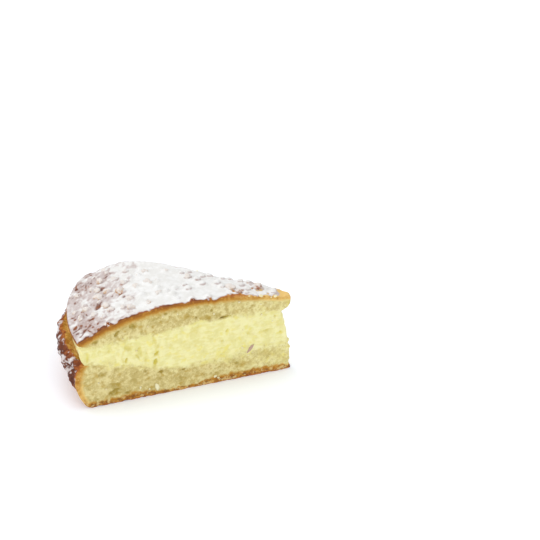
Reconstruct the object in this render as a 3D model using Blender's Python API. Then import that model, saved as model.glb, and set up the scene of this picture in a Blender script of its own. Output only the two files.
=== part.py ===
"""One slice of tarte tropezienne: a domed brioche cut across, filled with cream, with pearl sugar on its lid.

+Z is up, the slice's tip points along +X, its curved rim along -X, and its flat underside rests on z = 0.
Each layer starts as a box with a grid on every side. The box's length runs from the tip to the rim, its width
from one cut face to the other, and its height from the layer's underside to its top. The sizes below are in
millimetres, and the finished objects in metres.
"""

import math
import random

import bmesh
import bpy
from mathutils import Matrix, Vector, noise

METRES_PER_MM = 0.001

# The wedge that is cut from the whole tart. Radii are measured from the slice's tip, and a place across the
# wedge runs from -1 on the near cut face to 1 on the far one.
HALF_WEDGE = math.radians(19.0)
WIDEST_RADIUS = 137.4
APEX_BEYOND_TIP = 3.5
TIP_X = WIDEST_RADIUS / 2 - 0.4
APEX_X = TIP_X + APEX_BEYOND_TIP
NOSE_ROUNDNESS = 0.9
LAYER_GAP = 0.3

# Heights of the layers' faces along a radius: (radius, height).
BASE_TOP = [
    (0, 20.0), (14, 19.8), (27, 16.9), (40, 15.2), (70, 15.2), (82, 17.4), (93, 20.8), (108, 24.4),
    (123, 28.2), (129, 30.2), (135, 32.0),
]
LID_UNDERSIDE = [(0, 39.4), (18, 41.6), (45, 43.4), (75, 42.6), (105, 40.9), (122, 40.6), (131, 43.0)]
LID_TOP = [
    (-1, 49.3), (8, 51.0), (22, 54.2), (45, 57.5), (75, 58.2), (98, 56.0), (111, 52.4), (121, 48.6),
    (128, 45.9), (131, 44.7),
]

# Outer sides of the layers: (share of the layer's height, radius at the rim's middle, radius at the cuts).
BASE_SIDE = [
    (0.0, 125.6, 124.4), (0.05, 127.4, 126.4), (0.16, 129.2, 128.3), (0.34, 132.0, 130.6),
    (0.56, 135.4, 132.4), (0.70, 136.9, 132.2), (0.84, WIDEST_RADIUS, 130.6), (0.94, 136.8, 128.4),
    (1.0, 135.0, 126.5),
]
CREAM_SIDE = [(0.0, 127.4, 126.6), (0.3, 129.2, 130.0), (0.7, 129.8, 131.4), (1.0, 129.6, 130.0)]
LID_SIDE = [(0.0, 130.4, 129.8), (0.5, 131.6, 131.0), (1.0, 131.2, 130.6)]
CORNER_SHARPNESS = 3.0

# Blunt tips of the layers: (share of the layer's height, radius).
BASE_TIP = [(0.0, 0.2), (0.5, -0.5), (1.0, 0.6)]
CREAM_TIP = [(0.0, 0.7), (0.5, 2.2), (1.0, 4.9)]
LID_TIP = [(0.0, 4.6), (0.5, 1.6), (1.0, -0.9)]

# The rim's lip lifts towards its middle. The far side is drawn in, its crown is lower, and its corner hangs.
LIP_RISE, LIP_RADII = 1.5, (124, 133)
FAR_DRAW_IN = 1.6
FAR_CROWN_DROP, CROWN_RISE_RADII, CROWN_FALL_RADII = 1.3, (10, 40), (60, 95)
FAR_CORNER_DROP, FAR_CORNER_RADII = 3.4, (106, 131)

# Relief: (how far noise moves the surface, the size of its bumps, the noise's seed).
CRUST_SWELL = (0.7, 26, 1)
CRUST_WRINKLE = (0.28, 8, 2)
BASE_CRUMB, LID_CRUMB = (0.4, 5, 5), (0.4, 5, 13)
RIM_WAVE = (0.8, 17, 7)
CREAM_CUT_WAVE, CREAM_RIM_WAVE = (0.5, 12, 9), (0.5, 12, 11)
CREAM_SWELL = 0.7
SEED_STEP = 31.7

# Grid cells along, across and up each layer, and how far the grid is packed towards the rim.
BASE_CELLS, BASE_PACKING = (32, 14, 7), 1.2
CREAM_CELLS, CREAM_PACKING = (27, 12, 6), 1.1
LID_CELLS, LID_PACKING = (36, 17, 5), 1.3

# Pearl sugar: (radius, place across, spread, count, nib radius). The single nibs are the largest that show.
NIB_GROUPS = [
    (113.5, 0.40, 0.5, 1, 2.5), (107.0, 0.02, 0.5, 1, 2.1), (99.5, -0.12, 0.5, 1, 2.6),
    (112.5, -0.10, 0.5, 1, 2.4), (108.5, -0.42, 0.5, 1, 2.0), (95.5, -0.74, 0.5, 1, 2.2),
    (85.0, -0.72, 0.5, 1, 1.9), (88.0, -0.42, 0.5, 1, 2.0), (113.5, 0.78, 0.5, 1, 2.2),
    (61.0, 0.42, 0.5, 1, 2.3), (54.5, 0.30, 0.5, 1, 2.2), (60.0, -0.34, 0.5, 1, 2.2),
    (67.5, -0.30, 0.5, 1, 2.1), (34.5, -0.20, 0.5, 1, 2.4), (30.5, -0.50, 0.5, 1, 1.8),
    (24.5, -0.10, 0.5, 1, 2.1), (18.5, 0.30, 0.5, 1, 2.4), (15.5, -0.30, 0.5, 1, 2.0),
    (9.5, 0.0, 0.5, 1, 1.9), (106.0, -0.25, 24, 14, 1.9), (104.0, 0.50, 24, 11, 1.9),
    (54.0, 0.0, 24, 8, 1.8), (28.0, 0.1, 14, 6, 1.7), (80.0, 0.3, 40, 8, 1.6),
]
NIB_SEED = 11
NIB_SIZE_SPREAD = 0.15
NIB_SPACING = 1.18
NIB_RADII = (2, 130)
NIB_FROM_CUT = 0.75
NIB_TRIES = 200
NIB_RINGS, NIB_SIDES = 4, 6
NIB_WIDTHS, NIB_HEIGHTS, NIB_TILT = (0.85, 1.12), (0.7, 0.9), 0.3
NIB_SHOWING = 0.68
NIB_LUMPINESS = 0.12

BRIOCHE, BRIOCHE_ROUGHNESS = (0.80, 0.62, 0.27), 0.8
CREAM, CREAM_ROUGHNESS = (0.90, 0.82, 0.42), 0.45
SUGARED_CRUST, CRUST_ROUGHNESS = (0.88, 0.84, 0.80), 0.85
SHARP_ANGLE = math.radians(40)


def smooth_curve(points):
    """A function through the points, with a cubic between each two and level beyond the ends."""
    xs = [point[0] for point in points]
    ys = [point[1] for point in points]
    steps = [(ys[i + 1] - ys[i]) / (xs[i + 1] - xs[i]) for i in range(len(xs) - 1)]
    inner = [0.0 if a * b <= 0 else 2 * a * b / (a + b) for a, b in zip(steps, steps[1:])]
    slopes = [steps[0], *inner, steps[-1]]

    def value(x):
        if x <= xs[0]:
            return ys[0]
        if x >= xs[-1]:
            return ys[-1]
        i = max(k for k in range(len(xs) - 1) if xs[k] <= x)
        width, rise = xs[i + 1] - xs[i], ys[i + 1] - ys[i]
        t = (x - xs[i]) / width
        start, end = slopes[i] * width, slopes[i + 1] * width
        bend, turn = 3 * rise - 2 * start - end, start + end - 2 * rise
        return ys[i] + start * t + bend * t**2 + turn * t**3

    return value


BASE_TOP_CURVE = smooth_curve(BASE_TOP)
LID_UNDERSIDE_CURVE = smooth_curve(LID_UNDERSIDE)
LID_TOP_CURVE = smooth_curve(LID_TOP)


def smooth_step(radii, radius):
    """Rises smoothly from 0 at the first radius to 1 at the second."""
    low, high = radii
    t = min(1.0, max(0.0, (radius - low) / (high - low)))
    return t * t * (3 - 2 * t)


def plan(radius, across):
    """The (x, y) of the point at this radius and this place across the wedge."""
    angle = across * HALF_WEDGE
    reach = radius + APEX_BEYOND_TIP
    return APEX_X - reach * math.cos(angle), reach * math.sin(angle)


def wedge_place(x, y):
    """The radius and the place across the wedge of the point (x, y)."""
    return math.hypot(APEX_X - x, y) - APEX_BEYOND_TIP, math.atan2(y, APEX_X - x) / HALF_WEDGE


def relief(kind, point):
    """How far this kind of relief moves the surface at a point."""
    height, size, seed = kind
    return height * noise.noise(Vector(point) / size + Vector((SEED_STEP * seed, 0, 0)))


def base_underside(radius, across):
    """The height of the base's lower face, which lies flat."""
    return 0.0


def base_top(radius, across):
    """The height of the base's upper face, which lifts towards the middle of the rim."""
    return BASE_TOP_CURVE(radius) + LIP_RISE * (1 - across**2) * smooth_step(LIP_RADII, radius)


def cream_underside(radius, across):
    """The height of the cream's lower face."""
    return base_top(radius, across) + LAYER_GAP


def cream_top(radius, across):
    """The height of the cream's upper face."""
    return lid_underside(radius, across) - LAYER_GAP


def lid_underside(radius, across):
    """The height of the lid's lower face."""
    return LID_UNDERSIDE_CURVE(radius) - far_corner_drop(radius, across)


def lid_top(radius, across):
    """The height of the lid's crust, with its broad swells and small wrinkles."""
    point = (*plan(radius, across), 0)
    crown = smooth_step(CROWN_RISE_RADII, radius) * (1 - smooth_step(CROWN_FALL_RADII, radius))
    drop = FAR_CROWN_DROP * crown * max(0.0, across) ** 2 + far_corner_drop(radius, across)
    return LID_TOP_CURVE(radius) + relief(CRUST_SWELL, point) + relief(CRUST_WRINKLE, point) - drop


def far_corner_drop(radius, across):
    """How much lower the lid hangs near its far corner."""
    return FAR_CORNER_DROP * max(0.0, across) ** 2 * smooth_step(FAR_CORNER_RADII, radius)


def crumb(kind):
    """The relief of a cut face of brioche, as a function of (point, share of the layer's height)."""
    return lambda point, share: relief(kind, point)


def rim_wave(point, share):
    """The relief of the base's rim, which starts from nothing at the underside."""
    return share * relief(RIM_WAVE, point)


def cream_cut_wave(point, share):
    """How far the cream swells from a cut face, most at half its height."""
    return math.sin(math.pi * share) * (CREAM_SWELL + relief(CREAM_CUT_WAVE, point))


def cream_rim_wave(point, share):
    """The relief of the cream's side at the rim."""
    return math.sin(math.pi * share) * relief(CREAM_RIM_WAVE, point)


def smooth_side(point, share):
    """No relief."""
    return 0.0


def nose(tip_radius, across):
    """How far the blunt tip falls back from its foremost point towards the cut faces."""
    half_width = (tip_radius + APEX_BEYOND_TIP) * math.tan(HALF_WEDGE)
    return half_width * (1 - math.sqrt(1 - NOSE_ROUNDNESS * across**2))


def gridded_box(cells):
    """A box from 0 to 1 on each axis, with this many cells along, across and up its sides."""
    mesh = bmesh.new()
    bmesh.ops.create_cube(mesh, size=1.0, matrix=Matrix.Translation((0.5, 0.5, 0.5)))
    for axis, count in enumerate(cells):
        parallel = [
            edge for edge in mesh.edges
            if max(range(3), key=lambda i: abs((edge.verts[1].co - edge.verts[0].co)[i])) == axis
        ]
        bmesh.ops.subdivide_edges(mesh, edges=parallel, cuts=count - 1, use_grid_fill=True)
    return mesh


def shape_layer(mesh, packing, side, tip, underside, top, cut_relief, rim_relief):
    """Moves a gridded box's points into a layer of the slice.

    underside and top give the heights of the layer's faces from (radius, place across). cut_relief and
    rim_relief give how far a point moves outwards, from (point, share of the layer's height).
    """
    middle_side = smooth_curve(side)
    corner_side = smooth_curve([(share, corner) for share, _, corner in side])
    tip_side = smooth_curve(tip)
    for vert in mesh.verts:
        on_rim, on_cut = vert.co.x > 1 - 1e-5, abs(2 * vert.co.y - 1) > 1 - 1e-5
        along, across = 1 - (1 - vert.co.x) ** packing, 2 * vert.co.y - 1
        share = (1 - math.cos(math.pi * vert.co.z)) / 2
        corner = abs(across) ** CORNER_SHARPNESS
        end = middle_side(share) * (1 - corner) + corner_side(share) * corner
        end -= FAR_DRAW_IN * max(0.0, across) ** 2
        start = tip_side(share) + nose(tip_side(share), across)
        radius = start + (end - start) * along
        low, high = underside(radius, across), top(radius, across)
        point = Vector((*plan(radius, across), low + (high - low) * share))
        angle = across * HALF_WEDGE
        if on_cut:
            outward = Vector((math.sin(abs(angle)), math.copysign(math.cos(angle), across), 0))
            point += outward * cut_relief(point, share)
        elif on_rim:
            outward = Vector((-math.cos(angle), math.sin(angle), 0))
            point += outward * rim_relief(point, share)
        vert.co = point


def finished(mesh, name, colour, roughness):
    """The object made from this mesh, in metres, shaded smooth, with its own material."""
    bmesh.ops.scale(mesh, verts=mesh.verts, vec=(METRES_PER_MM,) * 3)
    bmesh.ops.triangulate(mesh, faces=mesh.faces)
    bmesh.ops.recalc_face_normals(mesh, faces=mesh.faces)
    data = bpy.data.meshes.new(name)
    mesh.to_mesh(data)
    mesh.free()
    data.shade_smooth()
    data.set_sharp_from_angle(angle=SHARP_ANGLE)
    material = bpy.data.materials.new(name)
    material.use_nodes = True
    principled = material.node_tree.nodes["Principled BSDF"]
    principled.inputs["Base Color"].default_value = (*colour, 1.0)
    principled.inputs["Roughness"].default_value = roughness
    data.materials.append(material)
    return bpy.data.objects.new(name, data)


def make_base():
    """The lower half of the brioche, dished above, with a rounded rim that flares past the cream."""
    mesh = gridded_box(BASE_CELLS)
    shape_layer(
        mesh, BASE_PACKING, BASE_SIDE, BASE_TIP, base_underside, base_top, crumb(BASE_CRUMB), rim_wave
    )
    return finished(mesh, "brioche_base", BRIOCHE, BRIOCHE_ROUGHNESS)


def make_cream():
    """The cream between the halves, which swells a little from the cut faces."""
    mesh = gridded_box(CREAM_CELLS)
    shape_layer(
        mesh, CREAM_PACKING, CREAM_SIDE, CREAM_TIP, cream_underside, cream_top, cream_cut_wave, cream_rim_wave
    )
    return finished(mesh, "cream_filling", CREAM, CREAM_ROUGHNESS)


def make_lid():
    """The upper half of the brioche, a low dome that thins to a crust edge at the rim."""
    mesh = gridded_box(LID_CELLS)
    shape_layer(
        mesh, LID_PACKING, LID_SIDE, LID_TIP, lid_underside, lid_top, crumb(LID_CRUMB), smooth_side
    )
    return finished(mesh, "brioche_lid", SUGARED_CRUST, CRUST_ROUGHNESS)


def nib_fits(x, y, size, places):
    """Whether a nib lies on the crust, whole, and clear of the nibs that are already placed."""
    radius, across = wedge_place(x, y)
    to_cut = (radius + APEX_BEYOND_TIP) * math.sin((1 - abs(across)) * HALF_WEDGE)
    on_crust = NIB_RADII[0] + size < radius < NIB_RADII[1] - size and to_cut > NIB_FROM_CUT * size
    return on_crust and all(
        math.hypot(x - other_x, y - other_y) > NIB_SPACING * (size + other_size)
        for other_x, other_y, other_size in places
    )


def nib_places():
    """The nibs as (x, y, nib radius), the largest placed first."""
    draw = random.Random(NIB_SEED)
    wanted = [
        (size * draw.uniform(1 - NIB_SIZE_SPREAD, 1 + NIB_SIZE_SPREAD), plan(radius, across), spread)
        for radius, across, spread, count, size in NIB_GROUPS
        for _ in range(count)
    ]
    places = []
    for size, middle, spread in sorted(wanted, reverse=True):
        for _ in range(NIB_TRIES):
            x, y = draw.gauss(middle[0], spread / 2), draw.gauss(middle[1], spread / 2)
            if nib_fits(x, y, size, places):
                places.append((x, y, size))
                break
    return places


def make_nib(index, place, draw):
    """One nib of pearl sugar, a low and uneven lump sunk into the crust."""
    x, y, size = place
    widths, heights = (draw.uniform(*NIB_WIDTHS), draw.uniform(*NIB_WIDTHS)), draw.uniform(*NIB_HEIGHTS)
    tilt = Matrix.Rotation(draw.uniform(-NIB_TILT, NIB_TILT), 3, "X")
    turn = Matrix.Rotation(draw.uniform(0, math.tau), 3, "Z")
    lift = size * heights * (2 * NIB_SHOWING - 1)
    middle = Vector((x, y, lid_top(*wedge_place(x, y)) + lift))
    mesh = bmesh.new()
    bmesh.ops.create_uvsphere(mesh, u_segments=NIB_SIDES, v_segments=NIB_RINGS, radius=size)
    for vert in mesh.verts:
        lump = vert.co * (1 + relief((NIB_LUMPINESS, size, index), vert.co))
        vert.co = turn @ tilt @ Matrix.Diagonal((*widths, heights)) @ lump + middle
    return finished(mesh, f"nib_{index}", SUGARED_CRUST, CRUST_ROUGHNESS)


def fuse_pearl_sugar(lid):
    """Joins the nibs to the lid with one union, and removes the loose nibs."""
    nibs = bpy.data.collections.new("nibs")
    bpy.context.scene.collection.children.link(nibs)
    draw = random.Random(NIB_SEED + 1)
    for index, place in enumerate(nib_places()):
        nibs.objects.link(make_nib(index, place, draw))
    union = lid.modifiers.new("nibs", "BOOLEAN")
    union.operation = "UNION"
    union.operand_type = "COLLECTION"
    union.collection = nibs
    with bpy.context.temp_override(object=lid, active_object=lid):
        bpy.ops.object.modifier_apply(modifier=union.name)
    for nib in list(nibs.objects):
        bpy.data.objects.remove(nib)
    bpy.data.collections.remove(nibs)


def main():
    """Clears the scene and makes the base, the cream and the sugared lid."""
    for old in list(bpy.data.objects):
        bpy.data.objects.remove(old)
    layers = [make_base(), make_cream(), make_lid()]
    for layer in layers:
        bpy.context.scene.collection.objects.link(layer)
    fuse_pearl_sugar(layers[-1])


main()
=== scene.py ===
"""Looks of one slice of tarte tropezienne: brioche crumb and crust, cream, icing sugar and pearl sugar.

The tip points along +X, the near cut face looks towards -Y and the slice rests on z = 0. Forms are worked
out in millimetres and become metres when a piece is finished. Each layer starts as a box with a fine grid on
every side, whose points are moved to the layer's form and then to its relief.
"""

from __future__ import annotations

import logging
import math
import random
from dataclasses import dataclass
from enum import Enum
from functools import cached_property

import bmesh
import bpy
import numpy as np
from mathutils import Matrix, Vector, noise

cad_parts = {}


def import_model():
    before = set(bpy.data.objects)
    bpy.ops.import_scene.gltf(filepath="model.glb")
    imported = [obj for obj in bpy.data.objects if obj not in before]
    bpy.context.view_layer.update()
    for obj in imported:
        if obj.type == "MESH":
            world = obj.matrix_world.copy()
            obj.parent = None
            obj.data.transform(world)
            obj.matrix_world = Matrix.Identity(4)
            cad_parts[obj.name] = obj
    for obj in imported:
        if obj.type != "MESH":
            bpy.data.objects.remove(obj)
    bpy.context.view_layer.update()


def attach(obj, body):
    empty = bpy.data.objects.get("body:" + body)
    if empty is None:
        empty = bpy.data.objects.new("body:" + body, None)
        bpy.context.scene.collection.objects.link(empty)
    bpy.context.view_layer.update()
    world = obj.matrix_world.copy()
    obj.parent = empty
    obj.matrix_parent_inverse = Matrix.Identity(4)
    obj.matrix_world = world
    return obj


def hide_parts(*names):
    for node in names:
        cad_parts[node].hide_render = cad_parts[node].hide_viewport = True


Array = np.ndarray
Material = bpy.types.Material
Mesh = bpy.types.Mesh
Piece = bpy.types.Object
Socket = bpy.types.NodeSocket
Span = tuple[float, float]
Sizes = tuple[float, float, float]
Colour = Sizes
# What an input of a material's node gets.
Source = Socket | float | Colour
# The names of a recipe's grains, each with its factor.
Mixture = tuple[tuple[str, float], ...]

LOG = logging.getLogger("tarte_tropezienne")
BODY = "root"
METRES_PER_MM = 0.001
SHARP_TURN = math.radians(58)
DISPLAY_WHITE, DISPLAY_TOE, TOE_SLOPE, DISPLAY_LIFT, DISPLAY_POWER = 255, 0.04045, 12.92, 0.055, 2.4
# Each seed shifts a pattern by this many of its bumps.
SEED_STEP = 31.7
# A length or share below this counts as none.
NEGLIGIBLE = 1e-5
# Below this many thicknesses of crust, all crumb is alike.
DEEPEST = 8.0


def srgb(red: int, green: int, blue: int) -> Colour:
    """The linear colour of an 8-bit display colour.

    Args:
        red: Its red.
        green: Its green.
        blue: Its blue.

    Returns:
        The linear colour.
    """
    shares = (red / DISPLAY_WHITE, green / DISPLAY_WHITE, blue / DISPLAY_WHITE)
    return tuple(
        c / TOE_SLOPE if c <= DISPLAY_TOE else ((c + DISPLAY_LIFT) / (1 + DISPLAY_LIFT)) ** DISPLAY_POWER
        for c in shares
    )


def smooth_step(low: float, high: float, x: Array) -> Array:
    """Rises smoothly from 0 at low to 1 at high, or falls where low is above high."""
    t = np.clip((x - low) / (high - low), 0.0, 1.0)
    return t * t * (3 - 2 * t)


@dataclass(frozen=True)
class Curve:
    """A smooth line through a few points, level beyond both ends."""

    points: tuple[Span, ...]

    def at(self, x: Array) -> Array:
        """The line's height.

        Args:
            x: Where to read the line.

        Returns:
            The height at each x.
        """
        xs, ys = np.array(self.points, float).T
        steps = np.diff(ys) / np.diff(xs)
        before, after = steps[:-1], steps[1:]
        same_way = before * after > 0
        inner = np.where(same_way, 2 * before * after / np.where(same_way, before + after, 1.0), 0.0)
        slopes = np.concatenate(([steps[0]], inner, [steps[-1]]))
        x = np.clip(np.asarray(x, float), xs[0], xs[-1])
        i = np.clip(np.searchsorted(xs, x, side="right") - 1, 0, len(xs) - 2)
        width, rise = xs[i + 1] - xs[i], ys[i + 1] - ys[i]
        t = (x - xs[i]) / width
        start, end = slopes[i] * width, slopes[i + 1] * width
        bend, turn = 3 * rise - 2 * start - end, start + end - 2 * rise
        return ys[i] + start * t + bend * t**2 + turn * t**3


@dataclass(frozen=True)
class Relief:
    """Noise that moves a surface: how far, the size of its bumps, and its seed."""

    height: float
    size: float | Sizes
    seed: int

    def at(self, points: Array) -> Array:
        """How far the surface moves at each point."""
        scaled = points / np.array(self.size) + (SEED_STEP * self.seed, 0.0, 0.0)
        return self.height * np.array([noise.noise(p) for p in scaled.tolist()])


@dataclass(frozen=True)
class Bubbles:
    """Round hollows that crowd together: depth, spacing, the share that is open, and their seed."""

    depth: float
    spacing: Sizes
    open_share: float
    seed: int
    reach: float = 0.8
    wall: float = 0.3
    unevenness: float = 0.3
    warp_size: float = 1.5
    chance_step: float = 9.0

    def at(self, points: Array) -> Array:
        """How deep the hollows are.

        Args:
            points: Places on the surface, one to a row.

        Returns:
            The depth at each point, 0 on the walls between them.
        """
        spacing = np.array(self.spacing)
        # Noise vectors differ from run to run unless they are seeded.
        noise.seed_set(self.seed)
        warp = [noise.noise_vector(p) for p in (points / (self.warp_size * spacing)).tolist()]
        scaled = points / spacing + self.unevenness * np.array(warp) + (SEED_STEP * self.seed, 0.0, 0.0)
        nearest, wall, chance = np.empty((3, len(scaled)))
        for i, place in enumerate(scaled.tolist()):
            distances, centres = noise.voronoi(place)
            nearest[i] = distances[0]
            wall[i] = distances[1] - distances[0]
            chance[i] = 0.5 + 0.5 * noise.cell(centres[0] * self.chance_step)
        openness = np.sqrt(np.clip(1 - chance / self.open_share, 0, 1))
        bowl = np.clip(1 - (nearest / (self.reach * (0.5 + 0.5 * openness))) ** 2, 0, 1)
        return self.depth * openness * bowl * smooth_step(0, self.wall, wall)


@dataclass(frozen=True)
class Dent:
    """An oval hollow on the near cut face, whose slant in degrees rises towards the tip."""

    radius: float
    height: float
    half_length: float
    half_width: float
    slant: float = 0.0
    depth: float = 1.0
    edge: Span = (1.3, 0.3)

    def at(self, radius: Array, height: Array, wobble: Array) -> Array:
        """How deep the hollow is.

        Args:
            radius: The radii of places on the face.
            height: Their heights.
            wobble: How far its outline is drawn in at each, in shares of its size.

        Returns:
            The depth at each place.
        """
        towards_tip, up, turn = self.radius - radius, height - self.height, math.radians(self.slant)
        along = (towards_tip * math.cos(turn) + up * math.sin(turn)) / self.half_length
        beside = (up * math.cos(turn) - towards_tip * math.sin(turn)) / self.half_width
        return self.depth * smooth_step(*self.edge, np.hypot(along, beside) + wobble)


@dataclass(frozen=True)
class Wedge:
    """The slice's plan. A radius is measured from the tip, and a place across runs from -1 to 1."""

    half_angle: float = math.radians(19.0)
    widest_radius: float = 137.4
    apex_beyond_tip: float = 3.5
    tip_short_of_middle: float = 0.4
    nose_roundness: float = 0.9

    @property
    def apex_x(self) -> float:
        """Where the two cut planes would meet."""
        return self.widest_radius / 2 - self.tip_short_of_middle + self.apex_beyond_tip

    def plan(self, radius: Array, across: Array) -> tuple[Array, Array]:
        """The (x, y) of points at these radii and places across."""
        angle, reach = across * self.half_angle, radius + self.apex_beyond_tip
        return self.apex_x - reach * np.cos(angle), reach * np.sin(angle)

    def place(self, x: Array, y: Array) -> tuple[Array, Array]:
        """The radii and places across of the points (x, y)."""
        along = self.apex_x - x
        return np.hypot(along, y) - self.apex_beyond_tip, np.arctan2(y, along) / self.half_angle

    def to_cut(self, radius: Array, across: Array) -> Array:
        """How far points lie from the nearer cut face."""
        return (radius + self.apex_beyond_tip) * np.sin((1 - np.abs(across)) * self.half_angle)

    def nose(self, tip_radius: Array, across: Array) -> Array:
        """How far the blunt tip falls back from its foremost point towards the cut faces."""
        half_width = (tip_radius + self.apex_beyond_tip) * math.tan(self.half_angle)
        return half_width * (1 - np.sqrt(1 - self.nose_roundness * across**2))


@dataclass(frozen=True)
class SliceForm:
    """The heights of the layers' faces, from the radius and the place across the wedge."""

    wedge: Wedge = Wedge()
    base_top_line: Curve = Curve((
        (0, 20.0), (14, 19.8), (27, 16.9), (40, 15.2), (70, 15.2), (82, 17.4), (93, 20.8), (108, 24.4),
        (123, 28.2), (129, 30.2), (135, 32.0),
    ))
    lid_underside_line: Curve = Curve((
        (0, 39.4), (18, 41.6), (45, 43.4), (75, 42.6), (105, 40.9), (122, 40.6), (131, 43.0),
    ))
    lid_top_line: Curve = Curve((
        (-1, 49.3), (8, 51.0), (22, 54.2), (45, 57.5), (75, 58.2), (98, 56.0), (111, 52.4), (121, 48.6),
        (128, 45.9), (131, 44.7),
    ))
    lip_rise: float = 1.5
    lip_radii: Span = (124, 133)
    crown_drop: float = 1.3
    crown_rise_radii: Span = (10, 40)
    crown_fall_radii: Span = (60, 95)
    corner_drop: float = 3.4
    corner_radii: Span = (106, 131)
    far_sag: Curve = Curve(((18, 0.0), (30, 1.6), (40, 2.8), (50, 1.9), (60, 0.5), (68, 0.0)))
    swell: Relief = Relief(0.7, 26, 1)
    wrinkle: Relief = Relief(0.28, 8, 2)

    def base_top(self, radius: Array, across: Array) -> Array:
        """The base's upper face, which lifts towards the middle of the rim."""
        lip = self.lip_rise * (1 - across**2) * smooth_step(*self.lip_radii, radius)
        return self.base_top_line.at(radius) + lip

    def far_corner_drop(self, radius: Array, across: Array) -> Array:
        """How much lower the lid hangs near its far corner."""
        return self.corner_drop * np.maximum(0.0, across) ** 2 * smooth_step(*self.corner_radii, radius)

    def lid_underside(self, radius: Array, across: Array) -> Array:
        """The lid's lower face."""
        return self.lid_underside_line.at(radius) - self.far_corner_drop(radius, across)

    def lid_top(self, radius: Array, across: Array) -> Array:
        """The lid's crust, with its broad swells and small wrinkles.

        Args:
            radius: The radii of places on the lid.
            across: Their places across.

        Returns:
            The crust's height at each place.
        """
        x, y = self.wedge.plan(radius, across)
        points = np.stack([x, y, np.zeros_like(x)], axis=-1)
        risen = smooth_step(*self.crown_rise_radii, radius)
        crown = risen * (1 - smooth_step(*self.crown_fall_radii, radius))
        drop = (self.crown_drop * crown + self.far_sag.at(radius)) * np.maximum(0.0, across) ** 2
        drop += self.far_corner_drop(radius, across)
        return self.lid_top_line.at(radius) + self.swell.at(points) + self.wrinkle.at(points) - drop


class Side(Enum):
    """The sides of a layer."""

    UNDERSIDE = "underside"
    TOP = "top"
    NEAR_CUT = "near cut"
    FAR_CUT = "far cut"
    RIM = "rim"
    TIP = "tip"


class Mark(Enum):
    """What a finish reads from a piece at each point."""

    DEPTH = "crust_depth"
    BAKE = "bake"
    # Painted shade in the crumb's pores, dents and grain hollows.
    PORE_SHADE = "pore_shade"
    SUGAR = "icing_sugar"
    CREAM = "creaminess"
    # The cream's hollows, which the finish paints with shade.
    HOLLOW = "hollow"
    RISE = "rise"
    TOAST = "toast"


@dataclass
class LayerPoints:
    """Where the grid points of a layer lie, one to a row.

    A share is of the layer's height, and low and high are the heights of the layer's faces at the point.
    """

    across: Array
    share: Array
    radius: Array
    rim_radius: Array
    low: Array
    high: Array
    place: Array
    on: dict[Side, Array]

    @property
    def on_cut(self) -> Array:
        """Whether each point is on one of the two cut faces."""
        return self.on[Side.NEAR_CUT] | self.on[Side.FAR_CUT]


@dataclass(frozen=True)
class Profile:
    """A layer's outer side and tip, by its share of the layer's height."""

    rim_middle: Curve
    rim_corner: Curve
    tip: Curve
    corner_sharpness: float = 3.0
    far_draw_in: float = 1.6

    def rim_radius(self, share: Array, across: Array) -> Array:
        """The radius of the outer side.

        Args:
            share: The shares of the layer's height.
            across: The places across.

        Returns:
            The radius at each.
        """
        corner = np.abs(across) ** self.corner_sharpness
        mixed = self.rim_middle.at(share) * (1 - corner) + self.rim_corner.at(share) * corner
        return mixed - self.far_draw_in * np.maximum(0.0, across) ** 2


def finished_mesh(name: str, shape: bmesh.types.BMesh) -> Mesh:
    """The mesh of a bmesh, which is freed.

    Args:
        name: The mesh's name.
        shape: The bmesh.

    Returns:
        The mesh.
    """
    data = bpy.data.meshes.new(name)
    shape.to_mesh(data)
    shape.free()
    return data


def face_outwards(data: Mesh) -> None:
    """Turns every face of a closed mesh outwards.

    Args:
        data: The mesh.
    """
    shape = bmesh.new()
    shape.from_mesh(data)
    bmesh.ops.recalc_face_normals(shape, faces=shape.faces)
    shape.to_mesh(data)
    shape.free()


def placed(name: str, data: Mesh, material: Material) -> Piece:
    """A finished piece in the scene, which moves with the slice.

    Args:
        name: The piece's name.
        data: Its mesh.
        material: Its finish.

    Returns:
        The piece.
    """
    data.shade_smooth()
    data.set_sharp_from_angle(angle=SHARP_TURN)
    data.materials.append(material)
    piece = bpy.data.objects.new(name, data)
    bpy.context.scene.collection.objects.link(piece)
    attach(piece, BODY)
    return piece


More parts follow.
